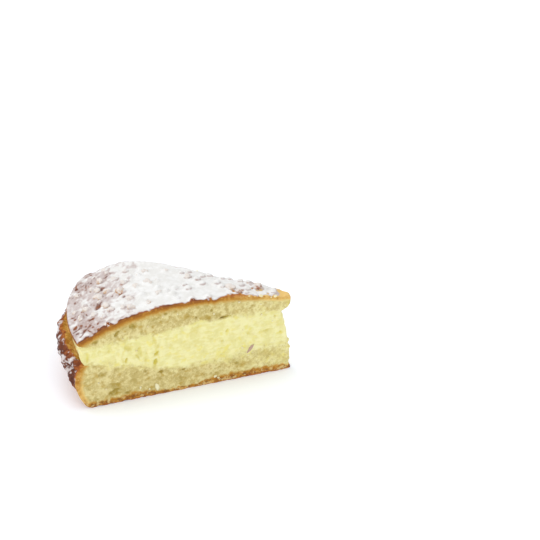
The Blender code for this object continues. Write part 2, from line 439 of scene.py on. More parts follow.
class Layer:
    """A layer of the slice, made from a box with a fine grid on every side."""

    name: str
    node: str
    cells: tuple[int, int, int]
    profile: Profile
    form: SliceForm

    def underside(self, radius: Array, across: Array) -> Array:
        """The height of the layer's lower face."""
        raise NotImplementedError

    def top(self, radius: Array, across: Array) -> Array:
        """The height of the layer's upper face."""
        raise NotImplementedError

    def shape(self, points: LayerPoints) -> dict[Mark, Array]:
        """Gives the points of the plain layer their relief, and tells what the finish reads at each."""
        raise NotImplementedError

    def gridded_box(self) -> Mesh:
        """A box from 0 to 1 on each axis, with the layer's cells along, across and up its sides.

        Returns:
            The box.
        """
        box = bmesh.new()
        bmesh.ops.create_cube(box, size=1.0, matrix=Matrix.Translation((0.5, 0.5, 0.5)))
        for axis, count in enumerate(self.cells):
            parallel = [
                edge for edge in box.edges
                if max(range(3), key=lambda i: abs((edge.verts[1].co - edge.verts[0].co)[i])) == axis
            ]
            bmesh.ops.subdivide_edges(box, edges=parallel, cuts=count - 1, use_grid_fill=True)
        return finished_mesh(self.name, box)

    def points(self, data: Mesh) -> LayerPoints:
        """Where the box's grid points go in the layer's plain form.

        Args:
            data: The gridded box.

        Returns:
            The points, with what is known of each.
        """
        box = np.zeros(len(data.vertices) * 3, np.float32)
        data.vertices.foreach_get("co", box)
        along, width, share = box.reshape(-1, 3).astype(float).T
        across = 2 * width - 1
        on = {
            Side.UNDERSIDE: share < NEGLIGIBLE, Side.TOP: share > 1 - NEGLIGIBLE,
            Side.NEAR_CUT: across < NEGLIGIBLE - 1, Side.FAR_CUT: across > 1 - NEGLIGIBLE,
            Side.TIP: along < NEGLIGIBLE, Side.RIM: along > 1 - NEGLIGIBLE,
        }
        rim_radius = self.profile.rim_radius(share, across)
        tip = self.profile.tip.at(share)
        start = tip + self.form.wedge.nose(tip, across)
        radius = start + (rim_radius - start) * along
        low, high = self.underside(radius, across), self.top(radius, across)
        x, y = self.form.wedge.plan(radius, across)
        place = np.stack([x, y, low + (high - low) * share], axis=-1)
        return LayerPoints(across, share, radius, rim_radius, low, high, place, on)

    def push(self, points: LayerPoints, which: Array, how_far: Array) -> None:
        """Moves some points outwards from a cut face or, elsewhere, from the rim.

        Args:
            points: The layer's points, whose places change.
            which: Whether each point moves.
            how_far: How far each of the chosen points moves.
        """
        angle = points.across * self.form.wedge.half_angle
        cut = np.stack([np.sin(np.abs(angle)), np.copysign(np.cos(angle), angle), 0 * angle], axis=-1)
        rim = np.stack([-np.cos(angle), np.sin(angle), 0 * angle], axis=-1)
        outward = np.where(points.on_cut[:, None], cut, rim)
        points.place[which] += outward[which] * how_far[:, None]

    def build(self, material: Material) -> Piece:
        """Makes the layer's piece, in place of its plain solid.

        Args:
            material: Its finish.

        Returns:
            The piece.
        """
        data = self.gridded_box()
        points = self.points(data)
        marks = self.shape(points)
        data.vertices.foreach_set("co", (points.place * METRES_PER_MM).astype(np.float32).ravel())
        face_outwards(data)
        for mark, values in marks.items():
            attribute = data.attributes.new(mark.value, "FLOAT", "POINT")
            attribute.data.foreach_set("value", values.astype(np.float32))
        piece = placed(self.name, data, material)
        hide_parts(self.node)
        return piece


@dataclass(frozen=True)
class Grain:
    """A material's pattern: its size in millimetres, finer layers, stretch on each axis and seed."""

    size: float
    detail: float = 3
    stretch: Sizes = (1, 1, 1)
    seed: float = 0


@dataclass(frozen=True)
class Ramp:
    """Colours that follow a value up to the ramp's reach, each after the value where it is whole."""

    reach: float
    stops: tuple[tuple[float, Colour], ...]


class Recipe:
    """The nodes of one material, which is a Principled BSDF with patterns on Object coordinates."""

    FINE, MEDIUM, BROAD = Grain(0.8), Grain(2.6, seed=1), Grain(11, detail=2, seed=2)
    COLOUR_A, COLOUR_B, COLOUR_OUT = 6, 7, 2

    def __init__(self, name: str) -> None:
        """Starts a material.

        Args:
            name: Its name.
        """
        self.material = bpy.data.materials.new(name)
        self.material.use_nodes = True
        self.tree = self.material.node_tree

    @cached_property
    def coordinates(self) -> Socket:
        """Object coordinates."""
        return self.node("TexCoord").outputs["Object"]

    @cached_property
    def fine(self) -> Socket:
        """The fine grain of crumb and crust."""
        return self.grain(self.FINE)

    @cached_property
    def medium(self) -> Socket:
        """The medium grain of crumb and crust."""
        return self.grain(self.MEDIUM)

    @cached_property
    def broad(self) -> Socket:
        """The broad grain of crumb and crust."""
        return self.grain(self.BROAD)

    def join(self, source: Source, target: Socket) -> None:
        """Links a socket to an input, or sets the input's own value.

        Args:
            source: The socket or the value.
            target: The input.
        """
        if isinstance(source, Socket):
            self.tree.links.new(source, target)
        elif target.type == "RGBA":
            target.default_value = (*source, 1.0)
        else:
            target.default_value = source

    def node(
        self, kind: str, inputs: dict[str | int, Source] | None = None, **settings: str
    ) -> bpy.types.Node:
        """A new node.

        Args:
            kind: The last part of its type's name.
            inputs: What its inputs are joined to or set to.
            **settings: Its other settings.

        Returns:
            The node.
        """
        node = self.tree.nodes.new("ShaderNode" + kind)
        for setting, value in settings.items():
            setattr(node, setting, value)
        for socket, source in (inputs or {}).items():
            self.join(source, node.inputs[socket])
        return node

    def mark(self, mark: Mark) -> Socket:
        """The value of one of the piece's marks."""
        return self.node("Attribute", attribute_name=mark.value).outputs["Fac"]

    def height(self) -> Socket:
        """The height above the floor, in millimetres."""
        place = self.node("SeparateXYZ", {"Vector": self.coordinates})
        return self.total((place.outputs["Z"], 1 / METRES_PER_MM))

    def mapped(self, grain: Grain) -> Socket:
        """Object coordinates in steps of a grain's size.

        Args:
            grain: The grain.

        Returns:
            The coordinates, stretched and shifted.
        """
        scale = tuple(1 / (grain.size * METRES_PER_MM * stretch) for stretch in grain.stretch)
        shift = (grain.seed * SEED_STEP, grain.seed, 0)
        inputs = {"Vector": self.coordinates, "Scale": scale, "Location": shift}
        return self.node("Mapping", inputs).outputs["Vector"]

    def grain(self, grain: Grain) -> Socket:
        """Noise round 0.5."""
        inputs = {"Scale": 1.0, "Detail": grain.detail, "Vector": self.mapped(grain)}
        return self.node("TexNoise", inputs).outputs["Fac"]

    def holes(self, grain: Grain) -> Socket:
        """The distance to the nearest of some scattered points, from 0 to about 1."""
        return self.node("TexVoronoi", {"Scale": 1.0, "Vector": self.mapped(grain)}).outputs["Distance"]

    def total(self, *terms: tuple[Socket, float], mixture: Mixture = (), scale: float = 1.0) -> Socket:
        """The sum of some values.

        Args:
            *terms: The values, each with its factor.
            mixture: The grains named fine, medium and broad that are added, each with its factor.
            scale: What the mixture's factors are multiplied by.

        Returns:
            The sum.
        """
        result: Source = 0.0
        grains = ((getattr(self, name), factor * scale) for name, factor in mixture)
        for value, factor in (*terms, *grains):
            result = self.node("Math", {0: value, 1: factor, 2: result}, operation="MULTIPLY_ADD").outputs[0]
        return result

    def product(self, a: Socket, b: Socket) -> Socket:
        """The product of two values."""
        return self.node("Math", {0: a, 1: b}, operation="MULTIPLY").outputs[0]

    def step(self, value: Socket, span: Span, ends: Span = (0.0, 1.0)) -> Socket:
        """Goes smoothly from one end to the other.

        Args:
            value: The value that is read.
            span: Where the step starts, and where it ends, which is higher.
            ends: The results below and above the step.

        Returns:
            The step's value.
        """
        inputs = {
            "Value": value, "From Min": span[0], "From Max": span[1], "To Min": ends[0], "To Max": ends[1],
        }
        return self.node("MapRange", inputs, interpolation_type="SMOOTHSTEP").outputs["Result"]

    def ramp(self, value: Socket, ramp: Ramp) -> Socket:
        """A colour that follows a value.

        Args:
            value: The value that is read.
            ramp: The colours that it goes through.

        Returns:
            The colour.
        """
        node = self.node("ValToRGB", {"Fac": self.total((value, 1 / ramp.reach))})
        elements = node.color_ramp.elements
        for element, (place, colour) in zip(elements, (ramp.stops[0], ramp.stops[-1])):
            element.position, element.color = place / ramp.reach, (*colour, 1.0)
        for place, colour in ramp.stops[1:-1]:
            elements.new(place / ramp.reach).color = (*colour, 1.0)
        return node.outputs["Color"]

    def mix(self, share: Socket, first: Source, second: Source) -> Socket:
        """A colour between two, by the share of the second."""
        inputs = {"Factor": share, self.COLOUR_A: first, self.COLOUR_B: second}
        return self.node("Mix", inputs, data_type="RGBA").outputs[self.COLOUR_OUT]

    def bump(self, height: Socket, depth: float) -> Socket:
        """A normal bent by a height, where a value of 1 is as high as the depth in millimetres."""
        return self.node("Bump", {"Distance": depth * METRES_PER_MM, "Height": height}).outputs["Normal"]

    def finish(self, **shader: Source) -> Material:
        """The finished material.

        Args:
            **shader: What the shader's own sockets get, with _ for each blank in their names.

        Returns:
            The material.
        """
        sockets = self.tree.nodes["Principled BSDF"].inputs
        for socket, source in shader.items():
            self.join(source, sockets[socket.replace("_", " ")])
        return self.material


@dataclass(frozen=True)
class CutColours:
    """The colours of crumb and cream on a cut face, where they run into each other."""

    crumb_light: Colour = srgb(220, 206, 148)
    crumb_dark: Colour = srgb(193, 175, 112)
    golden_patch: Colour = srgb(184, 157, 80)
    # The colour of the painted shade in pores and dents.
    pore_shade: Colour = srgb(158, 134, 50)
    cream_light: Colour = srgb(234, 228, 170)
    cream_middle: Colour = srgb(225, 217, 148)
    cream_rich: Colour = srgb(228, 216, 112)
    # The colour of the painted shade in the cream's hollows.
    cream_hollow_shade: Colour = srgb(208, 192, 84)
    crumb_mix: Mixture = (("medium", 0.45), ("broad", 0.25), ("fine", 0.3))
    tone_step: Span = (0.42, 0.58)
    patches: Grain = Grain(4, stretch=(1.1, 1.1, 0.9), seed=7)
    patch_step: Span = (0.50, 0.70)
    most_patched: float = 0.9
    pits: Grain = Grain(1.5, stretch=(1.1, 1.1, 0.9))
    pit_step: Span = (0.10, 0.36)
    pitted_step: Span = (0.42, 0.60)
    pore_weight: float = 1.1
    pit_weight: float = 0.25
    pore_step: Span = (0.05, 1.0)
    most_holed: float = 0.85
    soft: Grain = Grain(5, seed=5)
    drawn: Grain = Grain(1.6, stretch=(3, 3, 1), seed=8)
    soft_weight: float = 0.6
    drawn_weight: float = 0.4
    streaks: Grain = Grain(4.5, detail=2, seed=11)
    rich_step: Span = (0.54, 0.74)
    most_rich: float = 0.7
    hollow_fine: float = 0.4
    hollow_soft: float = 0.2
    hollow_step: Span = (0.4, 1.4)
    seam_mix: Mixture = (("medium", 1.0), ("fine", 0.6))
    creamy_step: Span = (0.8, 1.8)
    pit_height: float = -0.4
    grain_height: float = 0.35
    least_grain: Mixture = (("fine", 0.05),)
    relief: float = 0.25

    def crumb(self, recipe: Recipe) -> tuple[Socket, Socket]:
        """The look of crumb.

        Args:
            recipe: The material's nodes.

        Returns:
            The crumb's colour with painted shade in its pores, and a value that is 1 in its smallest pores.
        """
        tone = recipe.step(recipe.total(mixture=self.crumb_mix), self.tone_step)
        colour = recipe.mix(tone, self.crumb_dark, self.crumb_light)
        patches = recipe.grain(self.patches)
        patched = recipe.step(patches, self.patch_step, (0.0, self.most_patched))
        colour = recipe.mix(patched, colour, self.golden_patch)
        # Pores, pits and dents are darkened with painted shade.
        pits = recipe.step(recipe.holes(self.pits), self.pit_step, (1.0, 0.0))
        pits = recipe.product(pits, recipe.step(patches, self.pitted_step))
        holes = recipe.total((recipe.mark(Mark.PORE_SHADE), self.pore_weight), (pits, self.pit_weight))
        return recipe.mix(recipe.step(holes, self.pore_step, (0.0, self.most_holed)), colour, self.pore_shade), pits

    def cream(self, recipe: Recipe) -> Socket:
        """The look of cream.

        Args:
            recipe: The material's nodes.

        Returns:
            The cream's colour, with painted shade in its hollows.
        """
        soft = recipe.grain(self.soft)
        drawn = recipe.grain(self.drawn)
        tone = recipe.total((soft, self.soft_weight), (drawn, self.drawn_weight))
        tone = recipe.step(tone, self.tone_step)
        colour = recipe.mix(tone, self.cream_middle, self.cream_light)
        rich = recipe.step(recipe.grain(self.streaks), self.rich_step, (0.0, self.most_rich))
        colour = recipe.mix(rich, colour, self.cream_rich)
        # Painted shade deepens the cream's colour in its strokes, dents and low lumps.
        hollow = recipe.total(
            (recipe.mark(Mark.HOLLOW), 1.0), (recipe.fine, self.hollow_fine), (soft, self.hollow_soft)
        )
        return recipe.mix(recipe.step(hollow, self.hollow_step), colour, self.cream_hollow_shade)

    def colour(self, recipe: Recipe) -> tuple[Socket, Socket, Socket]:
        """The look of a cut face.

        Args:
            recipe: The material's nodes.

        Returns:
            The colour, how far the place is cream, and the normal.
        """
        crumb, pits = self.crumb(recipe)
        amount = recipe.total((recipe.mark(Mark.CREAM), 1.0), mixture=self.seam_mix)
        creamy, plain = (recipe.step(amount, self.creamy_step, ends) for ends in ((0.0, 1.0), (1.0, 0.0)))
        height = recipe.total(
            (recipe.product(pits, plain), self.pit_height),
            (recipe.product(recipe.fine, plain), self.grain_height),
            mixture=self.least_grain,
        )
        return recipe.mix(creamy, crumb, self.cream(recipe)), creamy, recipe.bump(height, self.relief)


@dataclass(frozen=True)
class BriocheFinish:
    """Yellow crumb inside a golden crust, with icing sugar and smears of cream where the piece is marked."""

    name: str
    inside: CutColours = CutColours()
    crust: Ramp = Ramp(2.8, (
        (1.2, srgb(224, 188, 114)), (1.45, srgb(194, 138, 62)), (1.8, srgb(160, 92, 38)),
        (2.2, srgb(114, 62, 34)), (2.6, srgb(84, 44, 32)),
    ))
    line: Ramp = Ramp(3.0, ((1.6, srgb(218, 178, 104)), (2.15, srgb(180, 126, 44)), (2.5, srgb(148, 91, 34))))
    middle: Ramp = Ramp(3.0, ((1.6, srgb(216, 174, 92)), (2.15, srgb(180, 126, 44))))
    fade: Ramp = Ramp(3.0, ((1.6, srgb(228, 200, 128)), (2.15, srgb(196, 162, 88))))
    speck: Colour = srgb(124, 80, 38)
    flake: Colour = srgb(216, 190, 130)
    veil: Colour = srgb(195, 183, 180)
    sugar: Colour = srgb(230, 230, 229)
    sugar_shade: Colour = srgb(222, 221, 218)
    skin_mix: Mixture = (("medium", 1.2), ("fine", 0.6), ("broad", 0.6))
    edge_mix: Mixture = (("medium", 1.4), ("broad", 1.2), ("fine", 0.8))
    jag_mix: Mixture = (("fine", 2.0), ("medium", 2.4), ("broad", 1.0))
    jaggedness: float = 0.6
    jag_middle: float = 2.7
    cut_step: Span = (0.02, 0.4)
    line_end: Span = (0.9, 2.4)
    golden_end: Span = (1.8, 3.4)
    crumb_start: Span = (2.6, 4.8)
    specks: Grain = Grain(2.0, stretch=(1.4, 1.4, 0.8), seed=12)
    speck_step: Span = (0.48, 0.58)
    flakes: Grain = Grain(2.2, seed=10)
    flake_step: Span = (0.52, 0.60)
    flakiness: float = 0.0
    flaky_heights: Span = (2.0, 5.0)
    clumps: Grain = Grain(1.4, stretch=(1, 1.8, 1), seed=3)
    clump_weight: float = 0.45
    sugar_mix: Mixture = (("fine", 0.25),)
    speckle: float = 1.0
    speckle_loss: float = 0.35
    thin_step: Span = (0.6, 0.98)
    thick_step: Span = (1.0, 1.6)
    shading: Grain = Grain(4, seed=4)
    shade_step: Span = (0.35, 0.65)
    rough_step: Span = (0.8, 1.6)
    roughness: Span = (0.55, 0.88)
    gloss: float = 0.25

    def edge(self, recipe: Recipe, bake: Socket, line: Socket, fade: Socket) -> Socket:
        """The crust's edge at the knife: a dark line that fades through gold, with specks and flakes.

        Args:
            recipe: The material's nodes.
            bake: How brown each place is.
            line: How far each place is past the line.
            fade: How far it is into the fading.

        Returns:
            The edge's colour.
        """
        browned = recipe.total((bake, 1.0), mixture=self.edge_mix)
        dark, middle, faded = (recipe.ramp(browned, ramp) for ramp in (self.line, self.middle, self.fade))
        edge = recipe.mix(fade, recipe.mix(line, dark, middle), faded)
        low = recipe.step(recipe.height(), self.flaky_heights, (self.flakiness, 0.0))
        for grain, span, colour in (
            (self.specks, self.speck_step, self.speck), (self.flakes, self.flake_step, self.flake),
        ):
            edge = recipe.mix(recipe.product(recipe.step(recipe.grain(grain), span), low), edge, colour)
        return edge

    def sugared(self, recipe: Recipe, below: Socket) -> tuple[Socket, Socket]:
        """Icing sugar over a colour: a thin veil at first, and opaque where it is thick.

        Args:
            recipe: The material's nodes.
            below: The colour under the sugar.

        Returns:
            The colour, and how far the sugar covers what is below.
        """
        clumps, mark = recipe.grain(self.clumps), recipe.mark(Mark.SUGAR)
        clumped = (clumps, self.clump_weight * self.speckle)
        amount = recipe.total((mark, 1.0), clumped, mixture=self.sugar_mix, scale=self.speckle)
        loss = self.speckle_loss * (self.speckle - 1)
        thin, thick = (
            recipe.step(amount, (start + loss, end + loss))
            for start, end in (self.thin_step, self.thick_step)
        )
        shade = recipe.step(recipe.grain(self.shading), self.shade_step)
        sugar = recipe.mix(shade, self.sugar_shade, self.sugar)
        return recipe.mix(thick, recipe.mix(thin, below, self.veil), sugar), thin

    def material(self) -> Material:
        """The finish as a material.

        Returns:
            The material, which reads the marks of a brioche layer.
        """
        recipe, jag = Recipe(self.name), self.jaggedness
        inside, _, normal = self.inside.colour(recipe)
        bake, depth = recipe.mark(Mark.BAKE), recipe.mark(Mark.DEPTH)
        jagged = recipe.total((depth, 1.0), mixture=self.jag_mix, scale=jag)
        middle = self.jag_middle * jag
        line, fade, crumb = (
            recipe.step(jagged, (middle + start, middle + end))
            for start, end in (self.line_end, self.golden_end, self.crumb_start)
        )
        skin = recipe.ramp(recipe.total((bake, 1.0), mixture=self.skin_mix), self.crust)
        crust = recipe.mix(recipe.step(depth, self.cut_step), skin, self.edge(recipe, bake, line, fade))
        colour, cover = self.sugared(recipe, recipe.mix(crumb, crust, inside))
        rough = recipe.total((jagged, 1 / middle), (cover, 1.0))
        return recipe.finish(
            Base_Color=colour, Roughness=recipe.step(rough, self.rough_step, self.roughness), Normal=normal,
            Specular_IOR_Level=self.gloss,
        )


@dataclass(frozen=True)
class BaseFinish(BriocheFinish):
    """The base's finish, with a redder rim, a more jagged edge, flakes low down and speckled sugar."""

    name: str = "base_brioche"
    crust: Ramp = Ramp(2.8, (
        (1.2, srgb(224, 188, 114)), (1.45, srgb(194, 138, 62)), (1.8, srgb(162, 88, 28)),
        (2.2, srgb(114, 54, 16)), (2.6, srgb(82, 36, 16)),
    ))
    jaggedness: float = 0.9
    flakiness: float = 0.75
    speckle: float = 3.0


@dataclass(frozen=True)
class CreamFinish:
    """Soft pale yellow cream that runs into the crumb at its edges."""

    name: str = "soft_cream"
    inside: CutColours = CutColours()
    roughness: Span = (0.8, 0.45)
    gloss: float = 0.3
    glow: float = 0.2
    glow_depth: float = 1.5
    glow_colours: Sizes = (1.0, 0.8, 0.4)

    def material(self) -> Material:
        """The finish as a material.

        Returns:
            The material, which reads the marks of a cut face.
        """
        recipe = Recipe(self.name)
        colour, creamy, normal = self.inside.colour(recipe)
        return recipe.finish(
            Base_Color=colour, Roughness=recipe.step(creamy, (0.0, 1.0), self.roughness), Normal=normal,
            Specular_IOR_Level=self.gloss, Subsurface_Weight=recipe.total((creamy, self.glow)),
            Subsurface_Scale=self.glow_depth * METRES_PER_MM, Subsurface_Radius=self.glow_colours,
        )


@dataclass(frozen=True)
class PearlSugarFinish:
    """Opaque sugar, beige to brown at its sides and dusted white above."""

    name: str = "pearl_sugar"
    white: Colour = srgb(223, 216, 210)
    toasting: Ramp = Ramp(2.0, (
        (0.45, srgb(206, 190, 170)), (0.9, srgb(196, 150, 102)), (1.35, srgb(150, 86, 46)),
    ))
    fine: Grain = Grain(0.6)
    lumps: Grain = Grain(1.6, detail=2, seed=9)
    toast_grain: float = 0.4
    dust_lumps: float = 1.2
    dust_grain: float = 0.8
    dust_on_toast: float = -0.3
    dust_step: Span = (1.05, 1.6)
    relief: float = 0.2
    roughness: float = 0.75
    gloss: float = 0.3

    def material(self) -> Material:
        """The finish as a material.

        Returns:
            The material, which reads the marks of rise and toast.
        """
        recipe = Recipe(self.name)
        fine, lumps = recipe.grain(self.fine), recipe.grain(self.lumps)
        toast = recipe.mark(Mark.TOAST)
        toast = recipe.total((toast, 1.0), (fine, self.toast_grain), (lumps, self.toast_grain))
        sides = recipe.ramp(toast, self.toasting)
        dust = recipe.total(
            (recipe.mark(Mark.RISE), 1.0), (lumps, self.dust_lumps), (fine, self.dust_grain),
            (toast, self.dust_on_toast),
        )
        return recipe.finish(
            Base_Color=recipe.mix(recipe.step(dust, self.dust_step), sides, self.white),
            Roughness=self.roughness, Normal=recipe.bump(fine, self.relief), Specular_IOR_Level=self.gloss,
        )


@dataclass(frozen=True)
class BitFinish:
    """Loose crumbs, from pale crumb to sugared crust."""

    name: str = "loose_crumb"
    toasting: Ramp = Ramp(1.5, (
        (0.3, srgb(234, 228, 190)), (0.8, srgb(214, 186, 120)), (1.15, srgb(186, 156, 138)),
    ))
    fine: Grain = Grain(0.5)
    toast_grain: float = 0.4
    relief: float = 0.2
    roughness: float = 0.85
    gloss: float = 0.2

    def material(self) -> Material:
        """The finish as a material.

        Returns:
            The material, which reads the mark of toasting.
        """
        recipe = Recipe(self.name)
        fine = recipe.grain(self.fine)
        toast = recipe.total((recipe.mark(Mark.TOAST), 1.0), (fine, self.toast_grain))
        return recipe.finish(
            Base_Color=recipe.ramp(toast, self.toasting),
            Roughness=self.roughness, Normal=recipe.bump(fine, self.relief), Specular_IOR_Level=self.gloss,
        )


@dataclass(frozen=True)
class FloorFinish:
    """Plain pale studio floor, lit a little from below."""

    name: str = "studio_floor"
    colour: Colour = (0.90, 0.93, 0.97)
    glow: float = 0.12
    roughness: float = 0.9
    gloss: float = 0.0

    def material(self) -> Material:
        """The finish as a plain matte material."""
        return Recipe(self.name).finish(
            Base_Color=self.colour, Emission_Color=self.colour, Emission_Strength=self.glow,
            Roughness=self.roughness, Specular_IOR_Level=self.gloss,
        )


@dataclass(frozen=True)
class CutFace:
    """What the knife leaves: torn crumb with bubbles and cream with strokes, which run into each other."""

    form: SliceForm
    tearing: Relief = Relief(0.5, 5, 5)
    grain: Relief = Relief(0.3, (2.1, 2.1, 1.6), 20)
    bubbles: tuple[Bubbles, ...] = (
        Bubbles(0.7, (8, 8, 5), 0.35, 30),
        Bubbles(0.55, (3.4, 3.4, 2.4), 0.5, 31),
        Bubbles(0.22, (1.9, 1.9, 1.4), 0.6, 32),
    )
    crumb_dents: tuple[Dent, ...] = tuple(Dent(*row) for row in (
        (108.9, 7.8, 4.6, 2.2, 6, 1.0), (116.3, 20.7, 3.4, 2.6, 20, 0.6), (81.0, 14.9, 1.8, 1.2, 0, 1.1),
        (101.7, 5.1, 1.8, 1.0, 0, 0.9), (66.8, 13.8, 1.3, 0.8, 20, 0.9), (44.9, 10.3, 1.5, 0.7, 0, 0.7),
        (33.5, 10.6, 1.6, 1.0, -25, 0.9), (13.1, 14.5, 1.8, 0.9, 0, 0.5), (106.8, 46.2, 2.4, 1.5, 60, 1.0),
        (97.7, 48.9, 2.1, 1.6, 70, 1.0), (91.8, 44.3, 1.3, 1.1, 0, 0.9), (76.9, 53.2, 1.7, 1.0, 0, 0.8),
        (48.8, 49.4, 1.6, 1.0, -30, 0.9), (58.7, 46.7, 1.2, 0.8, 0, 0.7), (29.4, 48.7, 1.0, 0.7, 0, 0.7),
        (120.0, 43.2, 2.2, 1.2, 20, 0.8), (41.0, 43.6, 4.2, 0.8, 4, 0.8),
    ))
    crust: Span = (0.8, 2.6)
    grain_in_crust: float = 0.4
    grain_shadow: float = 0.6
    swell: float = 0.5
    lumps: tuple[Relief, ...] = (Relief(0.5, 12, 9), Relief(0.6, (5, 5, 3.5), 51), Relief(0.18, 2.4, 52))
    upright_strokes: tuple[Relief, ...] = (Relief(1.0, (3.0, 3.0, 8), 53), Relief(0.35, (1.5, 1.5, 3.0), 55))
    level_strokes: tuple[Relief, ...] = (Relief(1.0, (8, 8, 2.8), 54), Relief(0.45, (3.0, 3.0, 1.8), 56))
    upright_radii: Span = (62, 86)
    stroke_step: Span = (0.0, 0.8)
    stroke_depth: float = 0.65
    level_share: float = 0.7
    wobble: Relief = Relief(0.7, 1.6, 58)
    shallow_patches: Relief = Relief(1.0, 14, 57)
    shallowness: float = 0.5
    sunk_lumps: Span = (0.0, -0.6)
    lump_shadow: float = 0.4
    most_hollow: float = 1.2
    cream_dents: tuple[Dent, ...] = tuple(Dent(*row) for row in (
        (84.3, 22.6, 2.4, 1.7, 75, 1.3), (83.6, 27.6, 1.9, 1.1, 50, 1.0), (102.1, 27.0, 1.8, 0.9, 80, 0.9),
        (94.8, 28.1, 2.2, 0.8, 120, 0.7), (41.0, 43.6, 4.2, 0.6, 4, 1.2), (39.6, 34.6, 1.6, 0.9, 60, 0.7),
        (42.8, 27.8, 1.4, 1.0, 100, 0.6), (26.4, 29.7, 1.2, 1.2, 0, 0.6), (15.6, 29.5, 2.8, 0.7, 0, 0.7),
        (9.3, 37.8, 0.9, 1.6, 0, 0.6), (6.1, 26.8, 1.0, 1.2, 0, 0.7),
    ))
    tongues: Relief = Relief(2.4, (6, 6, 3.5), 50)
    blend_at_base: Curve = Curve(((0, 6.5), (30, 5.5), (60, 4.2), (96, 4.2), (112, 6.5), (130, 6.5)))
    blend_at_lid: Curve = Curve(((0, 3.2), (28, 2.8), (42, 1.3), (80, 1.9), (95, 4.0), (131, 4.0)))
    cream_ends: Span = (131.0, 127.0)
    smear: Curve = Curve(((0, 0.56), (14, 0.5), (34, 0.26), (56, 0.0)))
    smear_on_lid: float = 0.75
    all_cream: float = 0.98

    def creaminess(self, points: LayerPoints, plain: Array) -> Array:
        """How far a cut face is cream at each point.

        Args:
            points: The layer's points.
            plain: Their places before any relief.

        Returns:
            0 in the crumb, 1 in the cream, and between them near their common edges.
        """
        radius, wander = points.radius, self.tongues.at(plain)
        above = plain[:, 2] - self.form.base_top(radius, points.across) + wander
        below = self.form.lid_underside(radius, points.across) - plain[:, 2] + wander
        into = np.minimum(above / self.blend_at_base.at(radius), below / self.blend_at_lid.at(radius))
        smear = self.smear.at(radius) * np.where(below < 0, self.smear_on_lid, 1.0)
        return smear + (1 - smear) * smooth_step(-1.0, 1.0, into)

    def relief(
        self, points: LayerPoints, plain: Array, creamy: Array, depth: Array
    ) -> tuple[Array, dict[Mark, Array]]:
        """How far the cut face stands out.

        Args:
            points: The layer's points.
            plain: Their places before any relief.
            creamy: How far each is cream.
            depth: How deep below the crust each lies.

        Returns:
            The distance for each point on a cut face, and the marks for every point.
        """
        cut = points.on_cut
        here, near, radius = plain[cut], points.across[cut] < 0, points.radius[cut]
        share, inside, wobble = creamy[cut], smooth_step(*self.crust, depth[cut]), self.wobble.at(here)
        hole, crumbly = np.zeros(len(here)), share < self.all_cream
        for bubbles in self.bubbles:
            hole[crumbly] = np.maximum(hole[crumbly], bubbles.at(here[crumbly]))
        for dent in self.crumb_dents:
            hole = np.maximum(hole, near * dent.at(radius, here[:, 2], wobble))
        hole *= inside
        upright = smooth_step(*self.upright_radii, radius)
        strokes = upright * sum(stroke.at(here) for stroke in self.upright_strokes)
        strokes += (1 - upright) * sum(stroke.at(here) for stroke in self.level_strokes)
        strokes -= self.shallowness * np.maximum(0, self.shallow_patches.at(here))
        hollow = self.stroke_depth * smooth_step(*self.stroke_step, strokes)
        hollow *= self.level_share + (1 - self.level_share) * upright
        for dent in self.cream_dents:
            hollow = np.maximum(hollow, near * dent.at(radius, here[:, 2], wobble))
        lumps, grain = sum(lump.at(here) for lump in self.lumps), self.grain.at(here)
        crumb = grain * (self.grain_in_crust + (1 - self.grain_in_crust) * inside) - hole
        cream = self.swell + lumps - hollow
        # The pore mark paints shade into pores, dents and the hollows of the grain.
        pore_shade, hollows = np.zeros((2, len(plain)))
        pore_shade[cut] = np.clip(hole - self.grain_shadow * np.minimum(grain, 0) * inside, 0, 1)
        # The hollow mark paints shade into the cream's strokes, dents and low lumps.
        sunk = self.lump_shadow * smooth_step(*self.sunk_lumps, lumps)
        hollows[cut] = np.clip(hollow + sunk, 0, self.most_hollow)
        out = self.tearing.at(here) + crumb * (1 - share) + cream * share
        return out, {Mark.PORE_SHADE: pore_shade, Mark.HOLLOW: hollows, Mark.CREAM: creamy}


